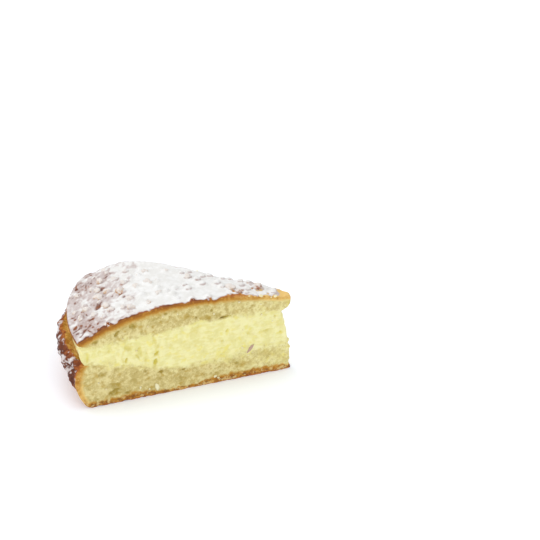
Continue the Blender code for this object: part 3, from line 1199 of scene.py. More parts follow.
@dataclass
class BriocheBase(Layer):
    """The lower half of the brioche: dished crumb inside a browned rim and underside."""

    form: SliceForm
    cut_face: CutFace
    name: str = "brioche_base_baked"
    node: str = "brioche_base"
    cells: tuple[int, int, int] = (280, 90, 44)
    profile: Profile = Profile(
        rim_middle=Curve((
            (0.0, 125.6), (0.05, 127.4), (0.16, 129.2), (0.34, 132.4), (0.56, 136.2), (0.70, 137.6),
            (0.84, 137.8), (0.94, 136.8), (1.0, 135.0),
        )),
        rim_corner=Curve((
            (0.0, 124.6), (0.05, 126.8), (0.16, 129.0), (0.34, 131.6), (0.56, 133.3), (0.70, 133.0),
            (0.84, 131.4), (0.94, 129.0), (1.0, 126.5),
        )),
        tip=Curve(((0.0, 0.2), (0.5, -0.5), (1.0, 0.6))),
    )
    rim_draw_in: float = 0.7
    rim_wave: Relief = Relief(0.8, 17, 7)
    rim_wrinkles: tuple[Relief, ...] = (Relief(2.0, (6.5, 6.5, 4), 21), Relief(2.0, 2.7, 22))
    tip_tearing: Relief = Relief(1.6, 2.6, 23)
    ledge_radius: float = 124.0
    ledge_wrinkle: Relief = Relief(1.6, 3.0, 25)
    underside_crust: Curve = Curve(((0.0, 0.0), (1.2, 0.5), (2.2, 1.2), (2.9, 2.0), (4.2, 4.4), (6.5, 8.0)))
    crust_below: Curve = Curve((
        (0, 1.0), (13, 1.2), (28, 1.3), (50, 1.2), (60, 0.6), (74, 0.5), (86, 0.9), (98, 1.3), (112, 1.0),
        (126, 1.1),
    ))
    crust_turn: Span = (-1.0, 1.0)
    calm_heights: Span = (0.0, 1.5)
    rim_crust: Curve = Curve(((0.0, 0.9), (0.3, 1.0), (0.7, 1.4), (0.86, 1.2), (1.0, 0.6)))
    crust_edge: Relief = Relief(1.6, (2.6, 2.6, 4), 27)
    ledge_crust: float = 3.2
    bake_below: float = 0.9
    bake_cut_below: Curve = Curve((
        (0, 0.15), (6, 0.4), (13, 0.6), (37, 0.6), (50, 0.4), (62, 0.35), (74, 0.3), (86, 0.75), (98, 0.65),
        (120, 0.7),
    ))
    bake_cut_rim: Curve = Curve(((0.0, 0.3), (0.2, 0.1), (0.45, 0.1), (0.65, 0.4), (1.0, 0.4)))
    bake_ledge: Curve = Curve(((124, 0.0), (128, 0.08), (131, 0.28), (134.5, 0.65)))
    corner_bake: Curve = Curve(((0.0, 0.8), (0.4, 0.8), (0.6, 1.0), (0.82, 1.0), (0.91, 0.45), (1.0, 0.4)))
    corner_reach: Span = (0.5, 3.5)
    corner_edge: Relief = Relief(4.0, 4.5, 26)
    ragged_edge: Relief = Relief(1.3, 2.4, 24)
    ragged_reach: float = 0.8
    bake_rim: Curve = Curve((
        (0.0, 0.5), (0.2, 0.6), (0.4, 0.85), (0.62, 1.3), (0.85, 1.35), (0.94, 1.0), (1.0, 0.7),
    ))
    dust: Relief = Relief(1.0, 8, 40)
    dust_grains: tuple[Relief, ...] = (Relief(0.6, 2.4, 41), Relief(0.8, 1.2, 42))
    dust_mean: float = 0.1
    most_dust: float = 0.78
    dust_shares: Span = (0.3, 0.7)
    dust_spots: tuple[Sizes, ...] = (
        (0.30, 0.86, 4.5), (-0.62, 0.80, 3.0), (-0.02, 0.95, 3.4), (-0.22, 0.90, 2.0),
    )
    dust_edge: Span = (1.4, 0.4)

    def underside(self, radius: Array, across: Array) -> Array:
        """The floor that the slice rests on."""
        return np.zeros_like(radius)

    def top(self, radius: Array, across: Array) -> Array:
        """The dished upper face."""
        return self.form.base_top(radius, across)

    def shape(self, points: LayerPoints) -> dict[Mark, Array]:
        """Gives the crumb its pores and the rim its wrinkles.

        Args:
            points: The points of the plain layer, whose places change.

        Returns:
            What the finish reads at each point.
        """
        plain = points.place.copy()
        cut = points.on_cut
        ledge = points.on[Side.TOP] & ~cut & (points.radius > self.ledge_radius)
        rim_crust = np.where(ledge, self.ledge_crust, self.rim_crust.at(points.share))
        to_rim = (points.rim_radius - points.radius) / rim_crust
        height = plain[:, 2] + self.crust_edge.at(plain) * smooth_step(*self.calm_heights, plain[:, 2])
        below = self.underside_crust.at(height / self.crust_below.at(points.radius))
        covered = points.on[Side.TOP] & ~cut & ~ledge
        depth = np.where(covered, DEEPEST, np.minimum(below, to_rim))
        creamy = self.cut_face.creaminess(points, plain) * (cut | points.on[Side.TIP])
        creamy *= smooth_step(*self.cut_face.cream_ends, points.radius)
        creamy[covered] = 1.0
        relief, marks = self.cut_face.relief(points, plain, creamy, depth)
        self.push(points, cut, relief)
        side, tip = points.on[Side.RIM] & ~cut, points.on[Side.TIP] & ~cut
        wave = sum(wrinkle.at(plain[side]) for wrinkle in (self.rim_wave, *self.rim_wrinkles))
        self.push(points, side, np.sqrt(points.share[side]) * wave - self.rim_draw_in)
        self.push(points, tip, self.tip_tearing.at(plain[tip]))
        points.place[ledge, 2] += self.ledge_wrinkle.at(plain[ledge])
        edge = cut & points.on[Side.UNDERSIDE]
        points.place[edge, 2] += np.clip(self.ragged_edge.at(plain[edge]), 0, self.ragged_reach)
        return marks | {
            Mark.DEPTH: np.clip(depth, 0, DEEPEST),
            Mark.BAKE: self.baked(points, smooth_step(*self.crust_turn, to_rim - below)),
            Mark.SUGAR: self.dusted(points, plain),
        }

    def dusted(self, points: LayerPoints, plain: Array) -> Array:
        """How much icing sugar has fallen on the rim.

        Args:
            points: The base's points.
            plain: Their places before any relief.

        Returns:
            The amount at each point.
        """
        fine = sum(grain.at(plain) for grain in self.dust_grains)
        dust = self.dust_mean + self.dust.at(plain) + fine
        for across, share, size in self.dust_spots:
            beside = (points.across - across) * self.form.wedge.half_angle * points.radius
            distance = np.hypot(beside, (points.share - share) * points.high) / size
            dust = np.maximum(dust, smooth_step(*self.dust_edge, distance + fine))
        rim = points.on[Side.RIM] * smooth_step(*self.dust_shares, points.share)
        return rim * np.clip(dust, 0, self.most_dust)

    def baked(self, points: LayerPoints, from_below: Array) -> Array:
        """How brown the crust is.

        Args:
            points: The base's points.
            from_below: How far the nearest crust is the underside's, from 0 to 1.

        Returns:
            The baking at each point.
        """
        at_rim = self.bake_cut_rim.at(points.share)
        cut = at_rim + (self.bake_cut_below.at(points.radius) - at_rim) * from_below
        to_cut = self.form.wedge.to_cut(points.radius, points.across) + self.corner_edge.at(points.place)
        inward = smooth_step(*self.corner_reach, to_cut)
        corner = self.corner_bake.at(points.share)
        rim = self.bake_rim.at(points.share) * (corner + (1 - corner) * inward)
        sides = (points.on[side] for side in (Side.NEAR_CUT, Side.FAR_CUT, Side.RIM, Side.TOP))
        return np.select(list(sides), [cut, cut, rim, self.bake_ledge.at(points.radius)], self.bake_below)


@dataclass
class CreamFilling(Layer):
    """The cream between the halves, drawn over the crumb in places by the knife."""

    form: SliceForm
    cut_face: CutFace
    name: str = "cream_filling_soft"
    node: str = "cream_filling"
    cells: tuple[int, int, int] = (240, 80, 46)
    profile: Profile = Profile(
        rim_middle=Curve(((0.0, 127.0), (0.3, 128.6), (0.7, 128.4), (1.0, 127.4))),
        rim_corner=Curve(((0.0, 126.6), (0.3, 129.2), (0.7, 129.4), (1.0, 127.4))),
        tip=Curve(((0.0, 0.7), (0.5, 2.2), (1.0, 4.9))),
    )
    overlap: float = 0.8
    sunk: float = 0.4
    soft_edge: float = 0.12
    lumps: tuple[Relief, ...] = (Relief(0.5, 12, 11), Relief(0.5, 12, 9), Relief(0.55, (5, 5, 3.5), 51))

    def underside(self, radius: Array, across: Array) -> Array:
        """The lower face, a little into the crumb so that no gap shows."""
        return self.form.base_top(radius, across) - self.overlap

    def top(self, radius: Array, across: Array) -> Array:
        """The upper face, a little into the lid's crumb."""
        return self.form.lid_underside(radius, across) + self.overlap

    def shape(self, points: LayerPoints) -> dict[Mark, Array]:
        """Gives the cream its knife strokes, and its lumps at the rim and the tip.

        Args:
            points: The points of the plain layer, whose places change.

        Returns:
            What the finish reads at each point.
        """
        plain = points.place.copy()
        cut = points.on_cut
        creamy = np.where(cut | points.on[Side.TIP], self.cut_face.creaminess(points, plain), 1.0)
        relief, marks = self.cut_face.relief(points, plain, creamy, np.full(len(plain), DEEPEST))
        from_edge = np.minimum(plain[:, 2] - points.low, points.high - plain[:, 2])
        self.push(points, cut, relief - self.sunk * smooth_step(self.overlap, 0.0, from_edge[cut]))
        side = (points.on[Side.RIM] | points.on[Side.TIP]) & ~cut
        to_edge = np.minimum(1.0, np.minimum(points.share, 1 - points.share) / self.soft_edge)
        lumps = sum(lump.at(plain[side]) for lump in self.lumps)
        self.push(points, side, (1 - (1 - to_edge[side]) ** 2) * lumps)
        return marks


# A nib's x, y, radius and toast.
NibPlace = tuple[float, float, float, float]


@dataclass(frozen=True)
class Nib:
    """One nib of pearl sugar: where it lies, its radius, its shape and how brown it is."""

    x: float
    y: float
    size: float
    toast: float
    widths: Span
    height: float
    tilt: float
    turn: float


@dataclass(frozen=True)
class NibGroup:
    """Some nibs round a place: its radius and place across, their size, toasting, spread and number."""

    radius: float
    across: float
    size: float
    toast: float
    spread: float = 0.5
    count: int = 1


@dataclass
class NibScatter:
    """The rule that spreads the nibs over the lid, the largest first."""

    form: SliceForm
    groups: tuple[NibGroup, ...] = tuple(NibGroup(*row) for row in (
        (113.5, 0.40, 2.5, 0.55), (107.0, 0.02, 2.1, 0.45), (99.5, -0.12, 2.6, 0.6),
        (112.5, -0.10, 2.4, 0.45), (108.5, -0.42, 2.0, 0.35), (95.5, -0.74, 2.2, 0.4),
        (85.0, -0.72, 1.9, 0.5), (88.0, -0.42, 2.0, 0.1), (113.5, 0.78, 2.2, 0.2), (61.0, 0.42, 2.3, 0.2),
        (54.5, 0.30, 2.2, 0.1), (60.0, -0.34, 2.2, 0.1), (67.5, -0.30, 2.1, 0.1), (34.5, -0.20, 2.4, 0.3),
        (30.5, -0.50, 1.8, 0.9), (24.5, -0.10, 2.1, 0.15), (18.5, 0.30, 2.4, 1.0), (15.5, -0.30, 2.0, 0.9),
        (9.5, 0.0, 1.9, 0.1), (106.0, -0.25, 1.9, 0.2, 24, 14), (104.0, 0.50, 1.9, 0.2, 24, 11),
        (54.0, 0.0, 1.8, 0.1, 24, 8), (28.0, 0.1, 1.7, 0.15, 14, 6), (80.0, 0.3, 1.6, 0.1, 40, 8),
    ))
    seed: int = 11
    size_spread: float = 0.15
    spacing: float = 1.18
    radii: Span = (2, 130)
    from_cut: float = 0.75
    tries: int = 200
    widths: Span = (0.85, 1.12)
    heights: Span = (0.7, 0.9)
    tilt: float = 0.3

    def fits(self, x: float, y: float, size: float, taken: list[NibPlace]) -> bool:
        """Whether a nib lies on the crust, whole, and clear of the nibs already placed.

        Args:
            x: Its place along the slice.
            y: Its place beside the middle.
            size: Its radius.
            taken: The nibs already placed.

        Returns:
            Whether it fits.
        """
        radius, across = self.form.wedge.place(x, y)
        inside = self.radii[0] + size < radius < self.radii[1] - size
        return inside and self.form.wedge.to_cut(radius, across) > self.from_cut * size and all(
            math.hypot(x - a, y - b) > self.spacing * (size + c) for a, b, c, _ in taken
        )

    def places(self) -> list[NibPlace]:
        """Spreads the nibs.

        Returns:
            The nibs' places.
        """
        draw = random.Random(self.seed)
        wanted = []
        for group in self.groups:
            for _ in range(group.count):
                size = group.size * draw.uniform(1 - self.size_spread, 1 + self.size_spread)
                middle = tuple(float(v) for v in self.form.wedge.plan(group.radius, group.across))
                wanted.append((size, middle, group.spread, group.toast))
        taken: list[NibPlace] = []
        for size, middle, spread, toast in sorted(wanted, reverse=True):
            for _ in range(self.tries):
                x, y = (draw.gauss(v, spread / 2) for v in middle)
                if self.fits(x, y, size, taken):
                    taken.append((x, y, size, toast))
                    break
        return taken

    def nibs(self) -> list[Nib]:
        """Gives the nibs their shapes.

        Returns:
            The nibs.
        """
        draw = random.Random(self.seed + 1)
        made = []
        for x, y, size, toast in self.places():
            widths = (draw.uniform(*self.widths), draw.uniform(*self.widths))
            height, tilt = draw.uniform(*self.heights), draw.uniform(-self.tilt, self.tilt)
            made.append(Nib(x, y, size, toast, widths, height, tilt, draw.uniform(0, math.tau)))
        return made


@dataclass(frozen=True)
class Spot:
    """A round place on the lid."""

    radius: float
    across: float
    size: float


@dataclass(frozen=True)
class Groove:
    """A furrow on the lid, between two places given as (radius, across)."""

    start: Span
    end: Span
    width: float


@dataclass
class IcingSugar:
    """The icing sugar on the lid: thick in the middle, mottled towards the rim, and gone at the tip."""

    form: SliceForm
    nibs: list[Nib]
    cover_line: Curve = Curve((
        (2, 0.0), (5, 0.25), (7.5, 1.0), (14, 1.3), (24, 1.4), (38, 1.5), (84, 1.5), (94, 1.25), (106, 1.02),
        (116, 0.84), (124, 0.74), (131, 0.66),
    ))
    unrest_line: Curve = Curve((
        (5, 1.0), (22, 0.7), (40, 0.18), (50, 0.12), (75, 0.12), (88, 0.4), (102, 0.8), (131, 1.0),
    ))
    patches: Relief = Relief(0.9, (9, 13, 9), 66)
    clumps: Relief = Relief(0.6, (3.8, 5.0, 3.8), 65)
    flecks: Relief = Relief(0.4, (1.7, 2.4, 1.7), 67)
    edge: tuple[Relief, ...] = (Relief(1.7, 7, 68), Relief(1.1, 2.2, 69))
    edge_margin: float = 0.9
    hang: float = -0.7
    far_hang: float = 0.5
    drawn_back: Curve = Curve(((21, 0.0), (26, 1.2), (32, 2.4), (37, 1.8), (41, 0.5), (46, 0.0)))
    least: float = 0.52
    specks: Relief = Relief(1.0, (2.0, 3.0, 2.0), 61)
    speck_step: Span = (0.16, 0.42)
    speck_depth: float = 0.26
    bare_cover: float = 0.34
    lumps: tuple[Relief, ...] = (Relief(0.9, (5, 7, 5), 63), Relief(0.7, (2.4, 3.6, 2.4), 64))
    thickness: float = 0.3
    mound: float = 0.42
    mound_reach: float = 1.3
    mound_steepness: int = 3
    bury: float = 0.75
    buried_toast: Span = (0.25, 0.12)
    # The nibs' feet: a ring of bare crust, stronger on the side away from the light as painted shadow.
    bare_and_shaded_foot: float = 0.9
    foot_ring: float = 1.1
    foot_depth: float = 0.3
    foot_shadow_towards: Span = (0.5, -0.87)
    foot_shadow_turn: Span = (-0.2, 0.8)
    foot_bareness_and_shade: float = 0.8
    toasted_bareness: float = 0.3
    foot_line: Curve = Curve((
        (5, 0.9), (38, 0.8), (46, 1.0), (64, 1.0), (71, 0.1), (90, 0.1), (98, 0.8), (131, 0.9),
    ))
    foot_mean: float = 0.75
    foot_flecks: float = 1.2
    foot_least: float = 0.5
    most: float = 1.4
    halves: Span = (-0.3, 0.3)
    most_hanging: float = 1.3
    hanging_more: float = 0.3
    calm_lumps: float = 0.1
    sparseness: float = 0.45
    sparse: tuple[Spot, ...] = tuple(Spot(*row) for row in (
        (117.0, -0.58, 4.2), (125.7, -0.41, 3.4), (114.0, -0.79, 2.6), (124.5, 0.13, 2.6), (120.7, 0.06, 2.0),
        (127.5, 0.62, 3.0), (115.5, -0.90, 1.8), (93.4, -0.80, 1.2), (102.5, -0.93, 1.4), (32.1, -0.62, 2.4),
        (16.2, 0.3, 2.6), (118.0, -0.95, 2.4), (14.0, -0.5, 2.2),
    ))
    sparse_edge: Span = (1.0, 0.3)
    # Pits beside the nibs: partly bare crust, partly painted shadow of the nibs.
    pits: tuple[Spot, ...] = tuple(Spot(*row) for row in (
        (111.2, 0.17, 3.3), (113.0, -0.36, 2.9), (110.6, 0.56, 1.7), (97.6, -0.28, 1.2), (114.9, 0.49, 0.9),
        (104.4, -0.17, 0.8), (84.6, -0.60, 0.7), (33.5, -0.5, 1.5), (28.0, -0.25, 1.3), (22.0, 0.05, 1.2),
        (17.0, -0.02, 1.3), (13.0, -0.5, 1.1),
    ))
    pit_edge: Span = (1.2, 0.5)
    pit_depth: float = 0.4
    grooves: tuple[Groove, ...] = (
        Groove((129.5, -0.72), (125.8, -0.71), 1.0), Groove((125.6, -0.84), (120.0, -0.76), 1.0),
        Groove((127.8, -0.91), (124.2, -0.86), 0.8), Groove((129.3, 0.61), (122.6, 0.63), 0.9),
    )
    groove_edge: Span = (1.4, 0.4)

    def near(self, spots: tuple[Spot, ...], edge: Span, ground: Array) -> Array:
        """How near each place is to some spots.

        Args:
            spots: The spots.
            edge: Where the nearness starts and where it is whole, in shares of a spot's size.
            ground: Places on the lid, with no height.

        Returns:
            The nearness of each place, from 0 to 1.
        """
        found = np.zeros(len(ground))
        for spot in spots:
            x, y = self.form.wedge.plan(spot.radius, spot.across)
            distance = np.hypot(ground[:, 0] - x, ground[:, 1] - y)
            found = np.maximum(found, smooth_step(*(share * spot.size for share in edge), distance))
        return found

    def bare(self, ground: Array) -> Array:
        """How bare pits and grooves leave the crust; in the pits the bare crust also stands for painted
        shadow beside the nibs.

        Args:
            ground: Places on the lid, with no height.

        Returns:
            The bareness of each place, from 0 to 1.
        """
        found = self.near(self.pits, self.pit_edge, ground)
        for groove in self.grooves:
            start, end = (np.array(self.form.wedge.plan(*place)) for place in (groove.start, groove.end))
            run = end - start
            share = np.clip((ground[:, :2] - start) @ run / (run @ run), 0, 1)
            distance = np.linalg.norm(ground[:, :2] - start - share[:, None] * run, axis=1)
            edge = (share * groove.width for share in self.groove_edge)
            found = np.maximum(found, smooth_step(*edge, distance))
        return found

    def around_nibs(self, ground: Array) -> tuple[Array, Array]:
        """How far the sugar rises against the nibs, and how bare their feet are, with painted shadow on the
        side away from the light.

        Args:
            ground: Places on the lid, with no height.

        Returns:
            The rise in millimetres, and the bareness with its painted shadow, from 0 to 1.
        """
        rise, bare_and_shaded_foot = np.zeros((2, len(ground)))
        for nib in self.nibs:
            distance = np.hypot(ground[:, 0] - nib.x, ground[:, 1] - nib.y)
            mound = self.mound + self.bury * float(smooth_step(*self.buried_toast, np.array(nib.toast)))
            away = distance / (self.mound_reach * nib.size)
            rise = np.maximum(rise, mound * nib.size * np.exp(-(away ** self.mound_steepness)))
            ring = smooth_step(self.bare_and_shaded_foot, 0.0, np.abs(distance - nib.size * self.foot_ring))
            offset = (ground[:, :2] - (nib.x, nib.y)) @ np.array(self.foot_shadow_towards)
            ring *= smooth_step(*self.foot_shadow_turn, offset / np.maximum(distance, NEGLIGIBLE))
            bare_and_shaded_foot = np.maximum(bare_and_shaded_foot, ring * (self.foot_bareness_and_shade + self.toasted_bareness * nib.toast))
        return rise, bare_and_shaded_foot

    def cover(self, points: LayerPoints, ground: Array) -> Array:
        """How much sugar lies on the lid.

        Args:
            points: The lid's points.
            ground: Their places, with no height.

        Returns:
            The amount at each point, from 0 to the most.
        """
        to_cut = self.form.wedge.to_cut(points.radius, points.across)
        line, unrest_line = self.cover_line.at(points.radius), self.unrest_line.at(points.radius)
        flecks = self.flecks.at(ground)
        amount = line + unrest_line * (self.patches.at(ground) + self.clumps.at(ground) + flecks)
        amount -= self.sparseness * self.near(self.sparse, self.sparse_edge, ground)
        # The nibs' bare feet, with their painted shadow, thin the sugar.
        _, bare_and_shaded_foot = self.around_nibs(ground)
        bare_and_shaded_foot = bare_and_shaded_foot * self.foot_line.at(points.radius)
        bare_and_shaded_foot *= np.clip(self.foot_mean + self.foot_flecks * flecks, 0, 1)
        amount -= bare_and_shaded_foot * np.maximum(self.foot_least, amount)
        amount = np.maximum(amount, np.minimum(self.least, line))
        specks = smooth_step(*self.speck_step, self.specks.at(ground))
        amount -= self.speck_depth * unrest_line * specks
        amount += (np.minimum(self.bare_cover, amount) - amount) * self.bare(ground)
        margin = to_cut + self.overhang(ground)
        return np.minimum(amount, self.most) * smooth_step(-self.edge_margin, self.edge_margin, margin)

    def overhang(self, ground: Array) -> Array:
        """How far the sugar hangs over the cut edge.

        Args:
            ground: Places on the lid, with no height.

        Returns:
            The overhang nearest to each place, or how far the sugar falls short where it is negative.
        """
        radius, across = self.form.wedge.place(ground[:, 0], ground[:, 1])
        near = self.hang - self.drawn_back.at(radius)
        hang = near + (self.far_hang - near) * smooth_step(*self.halves, across)
        return hang + sum(edge.at(ground) for edge in self.edge)

    def over_edge(self, points: LayerPoints, ground: Array, below: Array) -> Array:
        """How much sugar hangs over the cut edge, at points that lie this far below the crust."""
        hanging = smooth_step(self.edge_margin, -self.edge_margin, below - self.overhang(ground))
        return hanging * np.minimum(self.most_hanging, self.cover_line.at(points.radius) + self.hanging_more)

    def lift(self, points: LayerPoints, ground: Array, cover: Array) -> Array:
        """How far the sugared surface stands above the plain crust.

        Args:
            points: The lid's points.
            ground: Their places, with no height.
            cover: How much sugar lies there.

        Returns:
            The rise at each point.
        """
        unrest = self.calm_lumps + (1 - self.calm_lumps) * self.unrest_line.at(points.radius)
        rise, bare_and_shaded_foot = self.around_nibs(ground)
        hollows = self.pit_depth * self.bare(ground) + self.foot_depth * bare_and_shaded_foot
        lumps = sum(lump.at(ground) for lump in self.lumps) * unrest
        return lumps + self.thickness * np.clip(cover, 0, 1) + rise - hollows


@dataclass
class BriocheLid(Layer):
    """The upper half of the brioche, under icing sugar."""

    form: SliceForm
    cut_face: CutFace
    sugar: IcingSugar
    name: str = "brioche_lid_sugared"
    node: str = "brioche_lid"
    cells: tuple[int, int, int] = (270, 130, 26)
    profile: Profile = Profile(
        rim_middle=Curve(((0.0, 130.4), (0.5, 131.6), (1.0, 131.2))),
        rim_corner=Curve(((0.0, 129.8), (0.5, 131.0), (1.0, 130.6))),
        tip=Curve(((0.0, 4.6), (0.12, 2.8), (0.3, 0.4), (0.55, -0.7), (0.85, -0.9), (1.0, -0.2))),
    )
    crust_thickness: Curve = Curve(((0, 0.8), (40, 1.0), (80, 1.2), (105, 1.4), (131, 1.5)))
    bake: Curve = Curve((
        (0, -0.1), (12, 0.0), (22, 0.25), (34, 0.4), (44, 0.65), (56, 0.8), (115, 0.8), (131, 0.9),
    ))
    # Bare crust is baked darker: in the pits partly bare crust, partly painted shadow.
    bare_bake: float = 0.1
    top_bake: Curve = Curve(((0, -0.15), (14, -0.15), (30, -0.05), (42, 0.0), (90, 0.05), (105, 0.15)))

    def underside(self, radius: Array, across: Array) -> Array:
        """The lid's lower face."""
        return self.form.lid_underside(radius, across)

    def top(self, radius: Array, across: Array) -> Array:
        """The lid's crust."""
        return self.form.lid_top(radius, across)

    def shape(self, points: LayerPoints) -> dict[Mark, Array]:
        """Gives the crumb its pores and the top its sugar.

        Args:
            points: The points of the plain layer, whose places change.

        Returns:
            What the finish reads at each point.
        """
        plain = points.place.copy()
        ground = plain * (1, 1, 0)
        cut, top = points.on_cut, points.on[Side.TOP]
        crust = points.high - np.maximum(0.0, self.sugar.overhang(ground))
        depth = (crust - plain[:, 2]) / self.crust_thickness.at(points.radius)
        creamy = self.cut_face.creaminess(points, plain) * (cut | points.on[Side.TIP])
        relief, marks = self.cut_face.relief(points, plain, creamy, depth)
        cover = self.sugar.cover(points, ground)
        over = self.sugar.over_edge(points, ground, points.high - plain[:, 2])
        self.push(points, cut, relief + self.sugar.thickness * over[cut])
        points.place[:, 2] += top * self.sugar.lift(points, ground, cover)
        return marks | {
            Mark.DEPTH: np.clip(depth, 0, DEEPEST),
            Mark.BAKE: self.bake.at(points.radius) + top * (
                self.top_bake.at(points.radius) + self.bare_bake * self.sugar.bare(ground)
            ),
            Mark.SUGAR: np.where(top, cover, over * cut),
        }


@dataclass
class PearlSugar:
    """The nibs of pearl sugar, as one piece."""

    form: SliceForm
    nibs: list[Nib]
    name: str = "pearl_sugar_nibs"
    slot: str = "brioche_lid"
    showing: float = 0.64
    lumpiness: float = 0.5
    facets: float = 0.34
    facet_rate: float = 2.4
    fineness: int = 3

    def build(self, material: Material) -> Piece:
        """Makes the piece.

        Args:
            material: Its finish.

        Returns:
            The piece.
        """
        lumps = bmesh.new()
        rise, toast = (lumps.verts.layers.float.new(mark.value) for mark in (Mark.RISE, Mark.TOAST))
        for index, nib in enumerate(self.nibs):
            made = bmesh.ops.create_icosphere(lumps, subdivisions=self.fineness, radius=nib.size)
            shape = Matrix.Rotation(nib.turn, 3, "Z") @ Matrix.Rotation(nib.tilt, 3, "X")
            shape = shape @ Matrix.Diagonal((*nib.widths, nib.height))
            crust = float(self.form.lid_top(*(np.array([v]) for v in self.form.wedge.place(nib.x, nib.y)))[0])
            middle = Vector((nib.x, nib.y, crust + nib.size * nib.height * (2 * self.showing - 1)))
            shift = SEED_STEP * index
            for vert in made["verts"]:
                broad = noise.noise(vert.co / nib.size + Vector((shift, 0, 0)))
                fine = noise.noise(vert.co / nib.size * self.facet_rate + Vector((0, shift, 0)))
                lump = shape @ (vert.co * (1 + self.lumpiness * broad + self.facets * fine))
                vert[rise] = 0.5 + 0.5 * lump.z / (nib.size * nib.height)
                vert[toast] = nib.toast
                vert.co = (lump + middle) * METRES_PER_MM
        data = finished_mesh(self.name, lumps)
        face_outwards(data)
        return placed(self.name, data, material)


@dataclass(frozen=True)
class Bit:
    """A loose bit on a cut face: radius, height, sizes along, up and out, slant, toasting and side."""

    radius: float
    height: float
    size: Sizes
    slant: float = 0.0
    toast: float = 0.2
    side: int = -1


@dataclass
class LooseBits:
    """The loose crumbs that stick to the cut faces, as one piece."""

    form: SliceForm
    name: str = "loose_crumbs"
    slot: str = "brioche_base"
    placed_bits: tuple[Bit, ...] = tuple(Bit(*row) for row in (
        (25.2, 19.2, (3.5, 0.95, 0.5), 52, 1.0), (83.8, 5.6, (1.5, 2.3, 1.0), 10, -0.3),
        (47.5, 4.6, (1.0, 0.8, 0.6), 30, 0.1), (45.5, 3.2, (0.8, 0.6, 0.6)),
        (94.0, 7.2, (0.7, 0.9, 0.6), 0, 0.1), (88.5, 5.0, (0.6, 0.6, 0.5), 0, 0.1),
        (9.2, 51.4, (1.2, 0.7, 0.8), 15, 0.1),
        (11.8, 51.2, (0.5, 0.5, 0.5), 20, 0.3), (18.2, 53.4, (1.4, 0.7, 0.8), -10, 0.2),
        (25.5, 54.8, (0.9, 0.6, 0.6), 0, 0.4),
    ))
    scattered: int = 34
    sizes: Span = (0.35, 0.75)
    radii: Span = (8, 122)
    slants: Span = (0, 180)
    above_floor: float = 3.0
    below_crust: float = 2.0
    seed: int = 5
    lumpiness: float = 0.35
    lump_rate: float = 1.3
    fineness: int = 2
    stand_out: float = 0.25
    cream_stands_out: float = 0.6
    most_toasted: float = 0.4

    def bits(self) -> list[Bit]:
        """The placed bits, and others scattered over both cut faces.

        Returns:
            The bits.
        """
        draw = random.Random(self.seed)
        found = list(self.placed_bits)
        for index in range(self.scattered):
            radius = draw.uniform(*self.radii)
            highest = float(self.form.lid_top_line.at(np.array(radius))) - self.below_crust
            size = tuple(draw.uniform(*self.sizes) for _ in range(3))
            toast = self.most_toasted * draw.random()
            height, slant = draw.uniform(self.above_floor, highest), draw.uniform(*self.slants)
            found.append(Bit(radius, height, size, slant, toast, 1 if index % 2 else -1))
        return found

    def build(self, material: Material) -> Piece:
        """Makes the piece.

        Args:
            material: Its finish.

        Returns:
            The piece.
        """
        lumps = bmesh.new()
        toast = lumps.verts.layers.float.new(Mark.TOAST.value)
        for index, bit in enumerate(self.bits()):
            made = bmesh.ops.create_icosphere(lumps, subdivisions=self.fineness, radius=1.0)
            place = np.array([bit.radius]), np.array([float(bit.side)])
            low, high = self.form.base_top(*place)[0], self.form.lid_underside(*place)[0]
            proud = self.cream_stands_out if low < bit.height < high else self.stand_out
            x, y = self.form.wedge.plan(bit.radius, bit.side)
            angle = bit.side * self.form.wedge.half_angle
            outward = Vector((math.sin(abs(angle)), math.copysign(math.cos(angle), angle), 0))
            middle = Vector((x, y, bit.height)) + outward * proud
            turn = Matrix.Rotation(math.atan2(outward.x, -outward.y), 3, "Z")
            turn = turn @ Matrix.Rotation(-math.radians(bit.slant), 3, "Y")
            for vert in made["verts"]:
                shifted = vert.co * self.lump_rate + Vector((SEED_STEP * index, 0, 0))
                lump = 1 + self.lumpiness * noise.noise(shifted)
                along, up, out = (c * s * lump for c, s in zip((vert.co.x, vert.co.z, vert.co.y), bit.size))
                vert[toast] = bit.toast
                vert.co = (turn @ Vector((along, out, up)) + middle) * METRES_PER_MM
        data = finished_mesh(self.name, lumps)
        face_outwards(data)
        return placed(self.name, data, material)


def stand(name: str, data: bpy.types.ID, place: Sizes, ahead: Vector) -> Piece:
    """Stands a lamp or a camera in the studio.

    Args:
        name: Its name.
        data: The lamp's or the camera's own settings.
        place: Where it stands, in metres.
        ahead: Which way it looks.

    Returns:
        Its object.
    """
    stood = bpy.data.objects.new(name, data)
    stood.location = place
    stood.rotation_euler = ahead.to_track_quat("-Z", "Y").to_euler()
    bpy.context.scene.collection.objects.link(stood)
    return stood


@dataclass(frozen=True)
class SoftBox:
    """A square light that faces the slice: its place and size in metres, and its power in watts."""

    name: str
    place: Sizes
    size: float
    power: float

    def build(self) -> None:
        """Makes the light."""
        light = bpy.data.lights.new(self.name, "AREA")
        light.shape, light.size, light.energy = "SQUARE", self.size, self.power
        stand(self.name, light, self.place, -Vector(self.place))


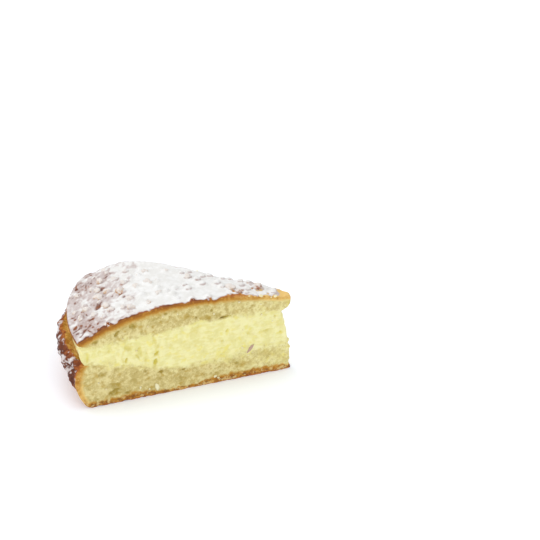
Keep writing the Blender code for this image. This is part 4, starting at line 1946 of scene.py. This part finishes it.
@dataclass
class Studio:
    """A pale floor, soft light from above and in front, and the camera."""

    camera_place: Sizes = (0.0160, -1.0190, 0.6203)
    camera_turn: float = math.radians(2.3)
    camera_dip: float = math.radians(28.5)
    lens: float = 131.73
    sensor: float = 36.0
    floor_size: float = 8.0
    floor_below: float = 0.00005
    surround: float = 0.80
    white: Colour = (1.0, 1.0, 1.0)
    soft_boxes: tuple[SoftBox, ...] = (
        SoftBox("key", (-0.5, 0.3, 1.5), 1.1, 7.4), SoftBox("fill", (0.5, -1.5, 0.9), 1.2, 5.4),
        SoftBox("side", (-1.4, -0.5, 0.7), 1.0, 5.0),
    )

    def build_floor(self, material: Material) -> None:
        """Makes the floor.

        Args:
            material: Its finish.
        """
        sheet = bmesh.new()
        bmesh.ops.create_grid(
            sheet, x_segments=1, y_segments=1, size=self.floor_size / 2,
            matrix=Matrix.Translation((0, 0, -self.floor_below)),
        )
        floor = bpy.data.objects.new("floor", finished_mesh("floor", sheet))
        bpy.context.scene.collection.objects.link(floor)
        floor.data.materials.append(material)

    def build_light(self) -> None:
        """Makes an even white surround and the soft boxes."""
        world = bpy.data.worlds.new("studio")
        world.use_nodes = True
        background = world.node_tree.nodes["Background"]
        background.inputs["Color"].default_value = (*self.white, 1.0)
        background.inputs["Strength"].default_value = self.surround
        bpy.context.scene.world = world
        for soft_box in self.soft_boxes:
            soft_box.build()
        bpy.context.scene.view_settings.view_transform = "Standard"

    def build_camera(self) -> None:
        """Places the camera."""
        data = bpy.data.cameras.new("camera")
        data.lens, data.sensor_width = self.lens, self.sensor
        level, dip = math.cos(self.camera_dip), math.sin(self.camera_dip)
        ahead = Vector((math.sin(self.camera_turn) * level, math.cos(self.camera_turn) * level, -dip))
        bpy.context.scene.camera = stand("camera", data, self.camera_place, ahead)


def main() -> None:
    """Builds the pieces in order."""
    logging.basicConfig(level=logging.INFO, format="%(name)s: %(message)s")
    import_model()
    studio = Studio()
    studio.build_camera()
    studio.build_floor(FloorFinish().material())
    studio.build_light()
    form = SliceForm()
    cut_face, nibs = CutFace(form), NibScatter(form).nibs()
    pieces = [
        BriocheBase(form, cut_face).build(BaseFinish().material()),
        CreamFilling(form, cut_face).build(CreamFinish().material()),
        BriocheLid(form, cut_face, IcingSugar(form, nibs)).build(BriocheFinish("lid_brioche").material()),
        PearlSugar(form, nibs).build(PearlSugarFinish().material()),
        LooseBits(form).build(BitFinish().material()),
    ]
    for piece in pieces:
        LOG.info("%s: %d points, %d faces", piece.name, len(piece.data.vertices), len(piece.data.polygons))


if __name__ == "__main__":
    main()
